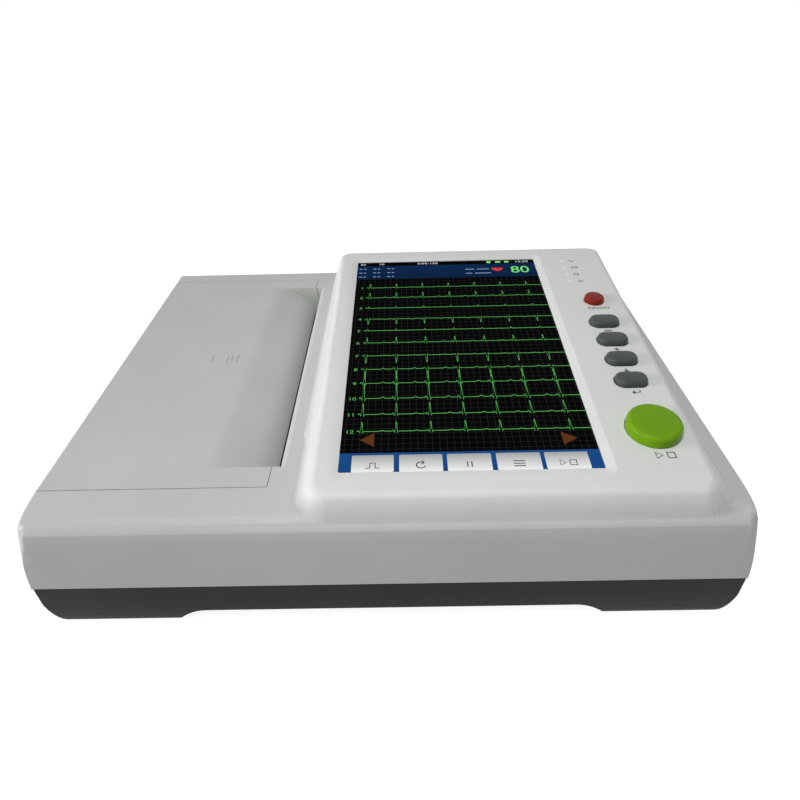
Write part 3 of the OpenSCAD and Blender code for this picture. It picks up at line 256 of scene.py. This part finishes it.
def litFinish(name, shade, strength=1.0, fade=None):
    # a patch of the display: its own light, under the matt antiglare glass; fade is (shade, v from, v to)
    finish = bpy.data.materials.new(name)
    finish.use_nodes = True
    tree = finish.node_tree
    tree.nodes.clear()
    place = addNode(tree, "ShaderNodeTexCoord").outputs["Object"]
    height = addNode(tree, "ShaderNodeSeparateXYZ", None, {"Vector": place})
    foot, slope = panel["foot"][1] * mm, math.cos(math.radians(panel["tilt"])) * mm
    low, high = (fade[1], fade[2]) if fade else (0.0, 240.0)
    rise = addNode(tree, "ShaderNodeMapRange",
                   {"From Min": foot + low * slope, "From Max": foot + high * slope},
                   {"Value": height.outputs[1]})
    shades = addNode(tree, "ShaderNodeValToRGB", None, {"Fac": rise.outputs[0]})
    shades.color_ramp.elements[0].color = colour(shade)
    shades.color_ramp.elements[1].color = colour(fade[0] if fade else shade)
    shader = addNode(tree, "ShaderNodeBsdfPrincipled",
                     {"Base Color": (0.001, 0.001, 0.001, 1), "Roughness": 0.4,
                      "Specular IOR Level": 0.0, "Emission Strength": strength},
                     {"Emission Color": shades.outputs[0]})
    addNode(tree, "ShaderNodeOutputMaterial", None, {"Surface": shader.outputs[0]})
    return finish


# antiglare touch glass over a dark display: near black, with a broad faint sheen
def antiglareGlass():
    finish = bpy.data.materials.new("antiglareGlass")
    finish.use_nodes = True
    tree = finish.node_tree
    tree.nodes.clear()
    place = addNode(tree, "ShaderNodeTexCoord").outputs["Object"]
    etch = addNode(tree, "ShaderNodeTexNoise", {"Scale": 1 / (0.6 * mm), "Detail": 2.0},
                   {"Vector": place})
    relief = addNode(tree, "ShaderNodeBump", {"Strength": 0.1, "Distance": 0.02 * mm},
                     {"Height": etch.outputs[0]})
    haze = addNode(tree, "ShaderNodeMapRange", {"To Min": 0.3, "To Max": 0.36},
                   {"Value": etch.outputs[0]})
    shader = addNode(tree, "ShaderNodeBsdfPrincipled",
                     {"Base Color": colour("#050506"), "Specular IOR Level": 0.01},
                     {"Roughness": haze.outputs[0], "Normal": relief.outputs[0]})
    addNode(tree, "ShaderNodeOutputMaterial", None, {"Surface": shader.outputs[0]})
    return finish


finishes["antiglareGlass"] = antiglareGlass()
litShades = {
    "screenBlack": ("#040404", None), "screenNavy": ("#0B2242", ("#0D274C", 207, 227)),
    "screenBlue": ("#17457F", ("#1B4A86", 15, 29)), "screenGrid": ("#242726", None),
    "screenGreen": ("#58B458", None), "screenLime": ("#7CE67C", None),
    "screenWhite": ("#D8DCDC", None), "screenRed": ("#D83A34", None),
    "screenBrown": ("#5C3418", None), "softKey": ("#F2F3F2", ("#9FA3A2", 15, 28)),
    "softInk": ("#3A3C3C", None), "screenPale": ("#8FA6BE", None),
}
for litName, (shade, fade) in litShades.items():
    finishes[litName] = litFinish(litName, shade, 1.0, fade)
print("finishes made")


# the upright front corners: near sharp at the parting line, a long soft curve in plan at the deck
corner = {"pieces": ("top_housing", "paper_cover"),
          "front": -149.5, "seam": 32.0, "lean": 7.5, "noseY": -136.2, "noseZ": 60.5, "noseR": 9.5,
          "inset": 3.7, "insetPower": 1.6, "back": 22.0, "backPower": 0.8,
          "low": 43.0, "high": 65.0, "inner": 175.5, "outer": 181.0,
          "cutsY": (-147, -144.5, -142, -139.5, -137, -134.5, -132, -129, -126, -123, -120, -116),
          "cutsZ": (46, 50, 54, 58)}


def cornerInset(y, z):
    c = corner
    front = c["front"] + (z - c["seam"]) * math.tan(math.radians(c["lean"]))
    if z > c["noseZ"]:
        front = max(front, c["noseY"] - math.sqrt(max(0, c["noseR"] ** 2 - (z - c["noseZ"]) ** 2)))
    grown = min(1, max(0, (z - c["low"]) / (c["high"] - c["low"])))
    back = max(1e-6, c["back"] * grown ** c["backPower"])
    along = min(1, max(0, (front + back - y) / back))
    return c["inset"] * grown ** c["insetPower"] * (1 - math.sqrt(1 - along ** 2))


def softenCorners(piece):
    # cuts the side bands into strips and moves them in, walls and all
    c = corner
    edit(piece)
    bands = [(0, side * c["inner"], lambda centre, normal: True) for side in (-1, 1)]
    for axis, cuts in ((1, c["cutsY"]), (2, c["cutsZ"])):
        bands += [(axis, cut, lambda centre, normal: abs(centre.x) > c["inner"] * mm) for cut in cuts]
    for axis, cut, near in bands:
        point, across = [0, 0, 0], [0, 0, 0]
        point[axis], across[axis] = cut * mm, 1
        selectWhere(piece, "FACE", near)
        bpy.ops.mesh.bisect(plane_co=point, plane_no=across)
    bpy.ops.object.mode_set(mode="OBJECT")
    for vertex in piece.data.vertices:
        x, y, z = (value / mm for value in vertex.co)
        share = min(1, max(0, (abs(x) - c["inner"]) / (c["outer"] - c["inner"])))
        vertex.co.x = (x - math.copysign(cornerInset(y, z) * share, x)) * mm


def smoothCopy(node, slotName, finish, body="case", angle=33, edge=0.0, name=None):
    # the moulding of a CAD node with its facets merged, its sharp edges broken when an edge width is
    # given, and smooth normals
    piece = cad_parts[node].copy()
    piece.data = piece.data.copy()
    piece.parent = None
    for key in list(piece.keys()):
        del piece[key]
    bpy.context.scene.collection.objects.link(piece)
    piece.matrix_world = Matrix.Identity(4)
    edit(piece)
    bpy.ops.mesh.select_all(action="SELECT")
    bpy.ops.mesh.remove_doubles(threshold=0.004 * mm)
    bpy.ops.mesh.dissolve_limited(angle_limit=math.radians(0.6))
    bpy.ops.object.mode_set(mode="OBJECT")
    if node in corner["pieces"]:
        softenCorners(piece)
    if edge:
        addModifier(piece, "BEVEL", width=edge * mm, segments=2, limit_method="ANGLE",
                    angle_limit=math.radians(40), use_clamp_overlap=True)
    pick(piece)
    bpy.ops.object.shade_smooth_by_angle(angle=math.radians(angle))
    addModifier(piece, "WEIGHTED_NORMAL", keep_sharp=True, weight=50)
    return dress(piece, name or node + "Shell", body, slotName, finishes[finish], node)


shells = {
    "top_housing": {"slot": "case_plastic", "finish": "mouldedPaleAbs"},
    "base_shell": {"slot": "base_plastic", "finish": "mouldedDarkAbs"},
    "paper_cover": {"slot": "cover_plastic", "finish": "mouldedGreyAbs", "body": "cover"},
    "rubber_feet": {"slot": "rubber", "finish": "nitrileRubber"},
    "mains_inlet": {"slot": "black_plastic", "finish": "blackNylon"},
    "fuse_holders": {"slot": "black_plastic", "finish": "blackNylon"},
    "mains_switch_frame": {"slot": "black_plastic", "finish": "blackNylon"},
    "mains_rocker": {"slot": "black_plastic", "finish": "blackNylon", "body": "rocker"},
    "earth_post": {"slot": "plated_brass", "finish": "nickelPlate"},
    "ecg_socket": {"slot": "steel", "finish": "zincSheet"},
    "usb_port": {"slot": "steel", "finish": "zincSheet"},
    "battery_door": {"slot": "base_plastic", "finish": "mouldedDarkAbs"},
    "paper_tray": {"slot": "base_plastic", "finish": "mouldedDarkAbs"},
    "platen_roller": {"slot": "platen_rubber", "finish": "groundSilicone", "body": "platen"},
    "paper_roll": {"slot": "paper", "finish": "thermalPaper", "body": "paper_supply"},
}
for node, shell in shells.items():
    smoothCopy(node, shell["slot"], shell["finish"], shell.get("body", "case"))
print("shells made")

carried = {
    "case_screws": "zincSheet", "battery_pack": "shrinkSleeve", "main_board": "solderResist",
    "power_module": "solderResist", "speaker": "blackNylon", "touch_glass": "antiglareGlass",
    "display_panel": "blackNylon", "display_bracket": "zincSheet", "keypad_board": "solderResist",
    "key_switches": "blackNylon", "light_pipes": "frostedAcrylic", "hinge_pin": "groundSteel",
    "platen_bearings": "acetal", "platen_shaft": "groundSteel", "platen_gear": "acetal",
    "printer_chassis": "zincSheet", "latch_forks": "zincSheet", "idler_axle": "groundSteel",
    "idler_gear": "acetal", "paper_motor": "zincSheet", "motor_shaft": "groundSteel",
    "motor_pinion": "turnedBrass", "print_head": "glazedCeramic",
    "head_heatsink": "extrudedAluminium", "head_springs": "groundSteel",
    "head_guides": "groundSteel", "roll_core": "woundBoard", "roll_spindle": "blackNylon",
}
for node, finishName in carried.items():
    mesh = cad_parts[node].data
    mesh.materials.clear()
    mesh.materials.append(finishes[finishName])
print("carried nodes dressed")


# round keys turned from a disc: a soft shoulder and a slightly crowned top
roundKeys = {
    "power_key": {"x": 142.8, "v": 169.2, "d": 13.2, "rise": 3.8, "shoulder": 1.5, "crown": 0.35,
                  "finish": "mouldedRedKey", "slot": "red_plastic", "body": "power_button"},
    "print_key": {"x": 142.8, "v": 41.4, "d": 29.0, "rise": 6.6, "shoulder": 2.3, "crown": 0.3,
                  "finish": "mouldedGreenKey", "slot": "green_plastic", "body": "print_button"},
}


def roundKey(node, key):
    foot, flange = -3.2, 1.1
    deselect()
    bpy.ops.mesh.primitive_cylinder_add(
        vertices=96, radius=key["d"] / 2 * mm, depth=(key["rise"] - key["crown"] - foot) * mm,
        location=(0, 0, (key["rise"] - key["crown"] + foot) / 2 * mm))
    cap = bpy.context.object
    settle(cap)
    top = (key["rise"] - key["crown"]) * mm
    edit(cap)
    selectWhere(cap, "FACE", lambda centre, normal: normal.z > 0.9)
    bpy.ops.mesh.inset(thickness=key["shoulder"] * 1.1 * mm)
    for share in (0.25, 0.3, 0.4):
        bpy.ops.mesh.inset(thickness=key["d"] / 2 * share * 0.8 * mm)
        bpy.ops.transform.translate(value=(0, 0, key["crown"] * share * mm))
    selectWhere(cap, "EDGE", lambda centre, run: abs(centre.z - top) < 1e-6
                and abs(run.z) < 1e-7 and centre.xy.length > key["d"] * 0.49 * mm)
    bpy.ops.mesh.bevel(offset=key["shoulder"] * mm, segments=6, profile=0.5)
    # the flange that holds the cap under the panel
    selectWhere(cap, "FACE", lambda centre, normal: normal.z < -0.9)
    bpy.ops.mesh.extrude_region_move()
    bpy.ops.transform.resize(value=(1 + 2 * flange / key["d"],) * 2 + (1,))
    bpy.ops.mesh.extrude_region_move(TRANSFORM_OT_translate={"value": (0, 0, -0.6 * mm)})
    bpy.ops.object.mode_set(mode="OBJECT")
    bpy.ops.object.shade_smooth_by_angle(angle=math.radians(40))
    settle(cap, panelPlace @ Matrix.Translation((key["x"] * mm, key["v"] * mm, 0)))
    dress(cap, node + "Cap", key["body"], key["slot"], finishes[key["finish"]], node)


for node, key in roundKeys.items():
    roundKey(node, key)

# the four oblong keys: a pillow with tapered sides
oblongKey = {"x": 142.8, "w": 19.2, "d": 12.0, "rise": 3.8, "round": 5.4, "shoulder": 1.5,
             "taper": 0.93, "crown": 0.35, "foot": -3.2, "flange": 0.6,
             "flangeGrowth": (1.11, 1.18, 1), "rim": (8.4, 5.1, 11.2)}
oblongPlaces = {"menu_key": (141.8, "menu_button"), "up_key": (121.7, "up_button"),
                "down_key": (101.6, "down_button"), "enter_key": (81.5, "enter_button")}


def oblongCap(node, v, body):
    key = oblongKey
    deselect()
    top = key["rise"] - key["crown"]
    bpy.ops.mesh.primitive_cube_add(size=1, location=(0, 0, (top + key["foot"]) / 2 * mm))
    cap = bpy.context.object
    cap.scale = (key["w"] * mm, key["d"] * mm, (top - key["foot"]) * mm)
    settle(cap)
    edit(cap)
    selectWhere(cap, "EDGE", lambda centre, run: abs(run.z) > 1 * mm)
    bpy.ops.mesh.bevel(offset=key["round"] * mm, segments=10, profile=0.5)
    selectWhere(cap, "FACE", lambda centre, normal: normal.z > 0.9)
    bpy.ops.transform.resize(value=(key["taper"] + 0.03, key["taper"], 1))
    bpy.ops.mesh.inset(thickness=key["shoulder"] * 1.15 * mm)
    bpy.ops.transform.translate(value=(0, 0, key["crown"] * 0.4 * mm))
    bpy.ops.mesh.inset(thickness=1.6 * mm)
    bpy.ops.transform.translate(value=(0, 0, key["crown"] * 0.6 * mm))
    selectWhere(cap, "EDGE", lambda centre, run: abs(centre.z - top * mm) < 1e-6
                and abs(run.z) < 1e-7
                and (abs(centre.x) > key["rim"][0] * mm or abs(centre.y) > key["rim"][1] * mm
                     or abs(centre.x) + abs(centre.y) > key["rim"][2] * mm))
    bpy.ops.mesh.bevel(offset=key["shoulder"] * mm, segments=5, profile=0.5)
    selectWhere(cap, "FACE", lambda centre, normal: normal.z < -0.9)
    bpy.ops.mesh.extrude_region_move()
    bpy.ops.transform.resize(value=key["flangeGrowth"])
    bpy.ops.mesh.extrude_region_move(TRANSFORM_OT_translate={"value": (0, 0, -key["flange"] * mm)})
    bpy.ops.object.mode_set(mode="OBJECT")
    bpy.ops.object.shade_smooth_by_angle(angle=math.radians(40))
    settle(cap, panelPlace @ Matrix.Translation((key["x"] * mm, v * mm, 0)))
    dress(cap, node + "Cap", body, "key_plastic", finishes["mouldedSlateKey"], node)


for node, (v, body) in oblongPlaces.items():
    oblongCap(node, v, body)
print("keys made")


def strokes(name, lines, width, h, finish, slotName, place=panelPlace, body="case", thick=0.12):
    # lines of constant width on a plane, each a list of points in millimetres
    curve = bpy.data.curves.new(name, "CURVE")
    curve.dimensions = "3D"
    curve.bevel_depth = width / 2 * mm
    curve.bevel_resolution = 1
    curve.use_fill_caps = True
    for line in lines:
        closed = line[0] == line[-1] and len(line) > 2
        points = line[:-1] if closed else line
        spline = curve.splines.new("POLY")
        spline.points.add(len(points) - 1)
        for point, (x, v) in zip(spline.points, points):
            point.co = (x * mm, v * mm, 0, 1)
        spline.use_cyclic_u = closed
    piece = bpy.data.objects.new(name, curve)
    bpy.context.scene.collection.objects.link(piece)
    pick(piece)
    bpy.ops.object.convert(target="MESH")
    piece = bpy.context.object
    piece.scale = (1, 1, thick / width)
    settle(piece)
    settle(piece, place @ Matrix.Translation((0, 0, h * mm)))
    return dress(piece, name, body, slotName, finishes[finish])


def patchesOn(name, outlines, h, finish, slotName, place=panelPlace, body="case", thick=0.05):
    # flat shapes of ink or light with a little thickness
    curve = bpy.data.curves.new(name, "CURVE")
    curve.dimensions = "2D"
    curve.fill_mode = "BOTH"
    curve.extrude = thick / 2 * mm
    for points in outlines:
        spline = curve.splines.new("POLY")
        spline.points.add(len(points) - 1)
        for point, (x, v) in zip(spline.points, points):
            point.co = (x * mm, v * mm, 0, 1)
        spline.use_cyclic_u = True
    piece = bpy.data.objects.new(name, curve)
    bpy.context.scene.collection.objects.link(piece)
    pick(piece)
    bpy.ops.object.convert(target="MESH")
    piece = bpy.context.object
    settle(piece, place @ Matrix.Translation((0, 0, h * mm)))
    return dress(piece, name, body, slotName, finishes[finish])


def figures(name, words, h, finish, slotName, place=panelPlace, body="case"):
    # plain figures: (text, x, v, height, stretch)
    made = []
    for text, x, v, size, stretch in words:
        deselect()
        bpy.ops.object.text_add()
        label = bpy.context.object
        label.data.body = text
        label.data.size = size / 0.7 * mm
        label.data.extrude = 0.02 * mm
        label.data.offset = 0.0
        bpy.ops.object.convert(target="MESH")
        label = bpy.context.object
        label.scale = (stretch, 1, 1)
        label.location = (x * mm, v * mm, 0)
        settle(label)
        made.append(label)
    deselect()
    for label in made:
        label.select_set(True)
    bpy.context.view_layer.objects.active = made[0]
    if len(made) > 1:
        bpy.ops.object.join()
    piece = bpy.context.object
    settle(piece, place @ Matrix.Translation((0, 0, h * mm)))
    return dress(piece, name, body, slotName, finishes[finish])


def box2d(x0, x1, v0, v1, r=0.0):
    if not r:
        return [(x0, v0), (x1, v0), (x1, v1), (x0, v1)]
    points = []
    for cx, cy, start in ((x1 - r, v1 - r, 0), (x0 + r, v1 - r, 90), (x0 + r, v0 + r, 180),
                          (x1 - r, v0 + r, 270)):
        for step in range(5):
            a = math.radians(start + 90 * step / 4)
            points.append((cx + r * math.cos(a), cy + r * math.sin(a)))
    return points


# the picture on the display, a fraction above the glass
screen = {"x0": -24.0, "x1": 111.6, "v0": 15.5, "v1": 232.5, "barTop": 29.3, "headTop": 227.0,
          "headFoot": 207.8, "grid": 3.9, "beatX": -13.2, "beatStep": 19.0,
          "rows": (195.0, 181.4, 167.9, 154.3, 140.6, 127.0, 113.2, 99.6, 86.2, 72.6, 59.0, 45.4)}
layer = [panel["glass"] + 0.03 + 0.03 * step for step in range(4)]
s = screen
patchesOn("pictureField", [box2d(s["x0"], s["x1"], s["v0"], s["v1"])], layer[0], "screenBlack",
          "glass")
patchesOn("pictureHeader", [box2d(s["x0"], s["x1"], s["headFoot"], s["headTop"])], layer[1],
          "screenNavy", "glass")
patchesOn("pictureFooter", [box2d(s["x0"], s["x1"], s["v0"], s["barTop"])], layer[1],
          "screenBlue", "glass")
gridLines = []
column = s["x0"] + 2.2
while column < s["x1"]:
    gridLines.append([(column, s["barTop"]), (column, s["headFoot"])])
    column += s["grid"]
level = s["barTop"] + 2.6
while level < s["headFoot"]:
    gridLines.append([(s["x0"], level), (s["x1"], level)])
    level += s["grid"]
strokes("pictureGrid", gridLines, 0.28, layer[0] + 0.02, "screenGrid", "glass", thick=0.03)

# one beat as (share of the beat, height); each row scales the wave and the spike
beat = [(0.0, 0, 0), (0.50, 0, 0), (0.58, 0.8, 0), (0.66, 0, 0), (0.86, 0, 0), (0.89, 0.9, 0),
        (0.93, 0, 0), (0.955, 0, -0.12), (0.985, 0, 1), (1.0, 0, 0.9), (1.03, 0, -0.18),
        (1.05, 0, 0)]
rowShapes = [(0.7, 5.2), (1.0, 6.6), (0.2, 1.7), (-0.8, -6.0), (0.2, 1.4), (0.8, 5.8),
             (0.6, -7.5), (1.2, -9.0), (1.5, 11.0), (1.5, 14.0), (1.1, 9.6), (0.8, 7.6)]
traceLines = []
for base, (wave, spike) in zip(s["rows"], rowShapes):
    line = [(s["x0"] + 8.2, base)]
    for count in range(-1, 7):
        start = s["beatX"] + count * s["beatStep"]
        for share, soft, sharp in beat[1:] if count >= -1 else beat:
            x = start + share * s["beatStep"]
            if line[-1][0] < x < s["x1"] - 0.3:
                line.append((x, base + soft * wave + sharp * spike))
    line.append((s["x1"] - 0.2, base))
    traceLines.append(line)
strokes("pictureTraces", traceLines, 0.52, layer[2], "screenGreen", "glass", thick=0.05)
figures("pictureRowNumbers", [(str(i + 1), s["x0"] + (3.6 if i < 9 else 1.8), base - 1.3, 2.6, 1.3)
                              for i, base in enumerate(s["rows"])],
        layer[2], "screenGreen", "glass")
patchesOn("pictureArrows", [[(-13.8, 38.9), (-6.2, 44.2), (-6.2, 33.8)],
                            [(102.2, 37.8), (94.2, 42.6), (94.2, 33.0)]],
          layer[2], "screenBrown", "glass")
heart = []
for step in range(28):
    a = 2 * math.pi * step / 28
    heart.append((82.4 + 0.27 * 16 * math.sin(a) ** 3,
                  218.6 + 0.2 * (13 * math.cos(a) - 5 * math.cos(2 * a) - 2 * math.cos(3 * a)
                                 - math.cos(4 * a))))
patchesOn("pictureHeart", [heart], layer[2], "screenRed", "glass")
figures("pictureRate", [("80", 92.0, 213.2, 9.4, 1.08)], layer[2], "screenLime", "glass")
figures("pictureStatus", [("12:30", 97.0, 228.6, 2.6, 1.25), ("25", -22.0, 228.6, 2.4, 1.3),
                          ("10", -8.0, 228.6, 2.4, 1.3), ("0.05-150", 22.0, 228.6, 2.4, 1.3)],
        layer[2], "screenWhite", "glass")
dashes = []
for row in range(3):
    for place in range(3):
        x = -22.4 + place * 10.6
        v = 222.8 - row * 5.9
        dashes.append([(x, v), (x + 2.2, v)])
        dashes.append([(x + 3.4, v), (x + 5.2, v)])
dashes += [[(x, v), (x + w, v)] for v, runs in ((219.4, ((58, 7), (67, 9), (78, 4))),
                                               (213.4, ((58, 5), (65, 12))))
           for x, w in runs]
strokes("pictureEntries", dashes, 0.9, layer[2], "screenPale", "glass", thick=0.05)
patchesOn("pictureBattery", [box2d(75.4, 78.4, 228.3, 231.4, 0.6), box2d(82, 86, 228.6, 231, 0.3),
                             box2d(89, 92.4, 228.6, 231, 0.3)],
          layer[2], "screenLime", "glass")
softKeys = [(-17.4, 4.4), (7.2, 29.6), (32.0, 54.8), (57.4, 80.2), (82.4, 104.8)]
patchesOn("pictureSoftKeys", [box2d(a, b, s["v0"] + 0.4, s["barTop"] - 1.6, 0.8)
                              for a, b in softKeys], layer[2], "softKey", "glass")


def middle(number):
    return sum(softKeys[number]) / 2, s["v0"] + 4.8


signs = []
cx, cv = middle(0)  # a square calibration step
signs.append([(cx - 3.6, cv - 1.6), (cx - 1.4, cv - 1.6), (cx - 1.4, cv + 1.8), (cx + 1.4, cv + 1.8),
              (cx + 1.4, cv - 1.6), (cx + 3.6, cv - 1.6)])
cx, cv = middle(1)  # a round arrow
signs.append([(cx + 2.4 * math.cos(math.radians(a)), cv + 2.1 * math.sin(math.radians(a)))
              for a in range(50, 341, 29)])
signs.append([(cx + 0.6, cv + 2.9), (cx + 1.7, cv + 1.6), (cx + 0.2, cv + 0.6)])
cx, cv = middle(2)  # two bars
signs += [[(cx - 1.1, cv - 2), (cx - 1.1, cv + 2)], [(cx + 1.1, cv - 2), (cx + 1.1, cv + 2)]]
cx, cv = middle(3)  # three lines of a list
signs += [[(cx - 3, cv + d), (cx + 3, cv + d)] for d in (-1.7, 0, 1.7)]
cx, cv = middle(4)  # start and stop
signs.append([(cx - 4, cv - 1.8), (cx - 4, cv + 1.8), (cx - 1, cv), (cx - 4, cv - 1.8)])
signs.append([(cx + 1, cv - 1.7), (cx + 4.4, cv - 1.7), (cx + 4.4, cv + 1.7), (cx + 1, cv + 1.7),
              (cx + 1, cv - 1.7)])
strokes("pictureSigns", signs, 0.6, layer[3], "softInk", "glass", thick=0.04)
print("picture made")

# plain signs printed beside the lights and under the keys
inkLines = []
for number, v in enumerate((225.1, 215.2, 205.3, 195.4)):
    x = 137.6
    if number == 0:    # alternating current
        inkLines.append([(x + 0.4 * i, v + 1.0 * math.sin(i * 0.9)) for i in range(8)])
    elif number == 1:  # battery
        inkLines.append([(x, v - 1), (x + 3.4, v - 1), (x + 3.4, v + 1), (x, v + 1), (x, v - 1)])
        inkLines.append([(x + 4.1, v - 0.4), (x + 4.1, v + 0.4)])
    elif number == 2:  # sheet of paper
        inkLines.append([(x, v - 1.4), (x + 2.6, v - 1.4), (x + 2.6, v + 0.6), (x + 1.7, v + 1.4),
                         (x, v + 1.4), (x, v - 1.4)])
    else:              # pulse
        inkLines.append([(x, v), (x + 1, v), (x + 1.6, v + 1.5), (x + 2.3, v - 1.5), (x + 2.8, v),
                         (x + 4.2, v)])
keyX = 143.2
for v, sign in ((132.0, "list"), (111.9, "up"), (91.8, "down"), (71.8, "enter")):
    if sign == "list":
        inkLines += [[(keyX - 2.4, v + d), (keyX + 2.4, v + d)] for d in (-1.2, 0, 1.2)]
    elif sign == "up":
        inkLines += [[(keyX, v - 1.5), (keyX, v + 1.5)],
                     [(keyX - 1.5, v + 0.1), (keyX, v + 1.5), (keyX + 1.5, v + 0.1)]]
    elif sign == "down":
        inkLines += [[(keyX, v - 1.5), (keyX, v + 1.5)],
                     [(keyX - 1.5, v - 0.1), (keyX, v - 1.5), (keyX + 1.5, v - 0.1)]]
    else:
        inkLines += [[(keyX + 2.2, v + 1.4), (keyX + 2.2, v - 0.4), (keyX - 2.2, v - 0.4)],
                     [(keyX - 0.9, v + 0.7), (keyX - 2.2, v - 0.4), (keyX - 0.9, v - 1.5)]]
inkLines += [[(keyX - 4.6, 20.2), (keyX - 4.6, 24.4), (keyX - 1.4, 22.3), (keyX - 4.6, 20.2)],
             [(keyX + 1.2, 20.4), (keyX + 5, 20.4), (keyX + 5, 24.2), (keyX + 1.2, 24.2),
              (keyX + 1.2, 20.4)]]
strokes("keypadSigns", inkLines, 0.72, 0.03, "printedInk", "key_plastic", thick=0.08)
figures("powerSwitchWords", [("ON/OFF", 136.6, 158.2, 2.5, 1.15)], 0.04, "printedInk",
        "key_plastic")

# raised sign of the paper bay, moulded into the cover
coverSign = {"x0": -121.8, "x1": -104.4, "y0": 1.6, "y1": 14.4, "top": 70.0}
c = coverSign
deckPlace = Matrix.Translation((0, 0, c["top"] * mm))
bayLines = [[(c["x0"], c["y0"] + 2), (c["x0"], c["y1"] - 2)],
            [(c["x1"], c["y0"] + 2), (c["x1"], c["y1"] - 2)],
            [(c["x0"] + 2, c["y0"]), (c["x1"] - 5, c["y0"])],
            [(c["x0"] + 2, c["y1"]), (c["x1"] - 5, c["y1"])],
            [(c["x1"] - 7, c["y0"] + 3.4), (c["x1"] - 7, c["y1"] - 3.4)],
            [(c["x1"] - 3.6, c["y0"] + 3.4), (c["x1"] - 3.6, c["y1"] - 3.4)]]
strokes("paperBaySign", bayLines, 1.0, 0.0, "mouldedGreyAbs", "cover_plastic", deckPlace, "cover",
        thick=1.0)
print("signs made")

# floor, lamps and camera
stage = {"floor": 8.0, "floorPaint": (0.34, 0.325, 0.31, 1), "glow": 0.91, "world": 0.26}
# soft boxes in metres and watts: a low one at the left and a near one over the front
lamps = {
    "keySoftBox": {"place": (-2.6, -0.35, 0.6), "size": (1.0, 1.0), "power": 50.0},
    "topSoftBox": {"place": (0.0, -0.26, 0.62), "size": (0.3, 0.3), "power": 1.9},
}
lampAim = (0, 0, 0.05)


def backdropRays(tree):
    # 1 for what the eye sees straight, in a mirror or through glass, and 0 for scattered light
    rays = addNode(tree, "ShaderNodeLightPath")
    pair = addNode(tree, "ShaderNodeMath", {"operation": "MAXIMUM"},
                   {0: rays.outputs["Is Camera Ray"], 1: rays.outputs["Is Glossy Ray"]})
    return addNode(tree, "ShaderNodeMath", {"operation": "MAXIMUM"},
                   {0: pair.outputs[0], 1: rays.outputs["Is Transmission Ray"]})


deselect()
bpy.ops.mesh.primitive_plane_add(size=stage["floor"])
floor = bpy.context.object
floor.name = "floor"
paint = bpy.data.materials.new("paleFloor")
paint.use_nodes = True
tree = paint.node_tree
tree.nodes.clear()
matt = addNode(tree, "ShaderNodeBsdfDiffuse", {"Color": stage["floorPaint"]})
glow = addNode(tree, "ShaderNodeEmission", {"Color": (1, 1, 1, 1), "Strength": stage["glow"]})
both = addNode(tree, "ShaderNodeAddShader", None, {0: matt.outputs[0], 1: glow.outputs[0]})
seen = addNode(tree, "ShaderNodeMixShader", None,
               {"Fac": backdropRays(tree).outputs[0], 1: matt.outputs[0], 2: both.outputs[0]})
addNode(tree, "ShaderNodeOutputMaterial", None, {"Surface": seen.outputs[0]})
floor.data.materials.append(paint)

world = bpy.data.worlds.new("studio")
bpy.context.scene.world = world
world.use_nodes = True
tree = world.node_tree
tree.nodes.clear()
room = addNode(tree, "ShaderNodeBackground", {"Color": (1, 1, 1, 1), "Strength": stage["world"]})
white = addNode(tree, "ShaderNodeBackground", {"Color": (1, 1, 1, 1), "Strength": 1.0})
sky = addNode(tree, "ShaderNodeMixShader", None,
              {"Fac": backdropRays(tree).outputs[0], 1: room.outputs[0], 2: white.outputs[0]})
addNode(tree, "ShaderNodeOutputWorld", None, {"Surface": sky.outputs[0]})


for lampName, box in lamps.items():
    deselect()
    bpy.ops.object.light_add(type="AREA", location=box["place"])
    lamp = bpy.context.object
    lamp.name = lampName
    lamp.data.shape = "RECTANGLE"
    lamp.data.size, lamp.data.size_y = box["size"]
    lamp.data.energy = box["power"]
    lamp.rotation_euler = (Vector(lampAim) - Vector(box["place"])).to_track_quat("-Z", "Y").to_euler()

lens = {"place": (11.7, -338.9, 288.75), "down": 36.51, "yaw": -0.8, "roll": -1.57, "focal": 597.84}
down, yaw, roll = (math.radians(lens[key]) for key in ("down", "yaw", "roll"))
forward = Vector((math.sin(yaw) * math.cos(down), math.cos(yaw) * math.cos(down), -math.sin(down)))
right = Vector((math.cos(yaw), -math.sin(yaw), 0))
up = right.cross(forward)
right2 = right * math.cos(roll) + up * math.sin(roll)
up2 = up * math.cos(roll) - right * math.sin(roll)
view = Matrix((right2, up2, -forward)).transposed().to_4x4()
view.translation = Vector(lens["place"]) * mm
cameraData = bpy.data.cameras.new("camera")
camera = bpy.data.objects.new("camera", cameraData)
bpy.context.scene.collection.objects.link(camera)
cameraData.sensor_width = 36
cameraData.lens = lens["focal"] * 36 / 800
cameraData.clip_start = 0.01
camera.matrix_world = view
bpy.context.scene.camera = camera
bpy.context.scene.view_settings.view_transform = "Standard"
deselect()
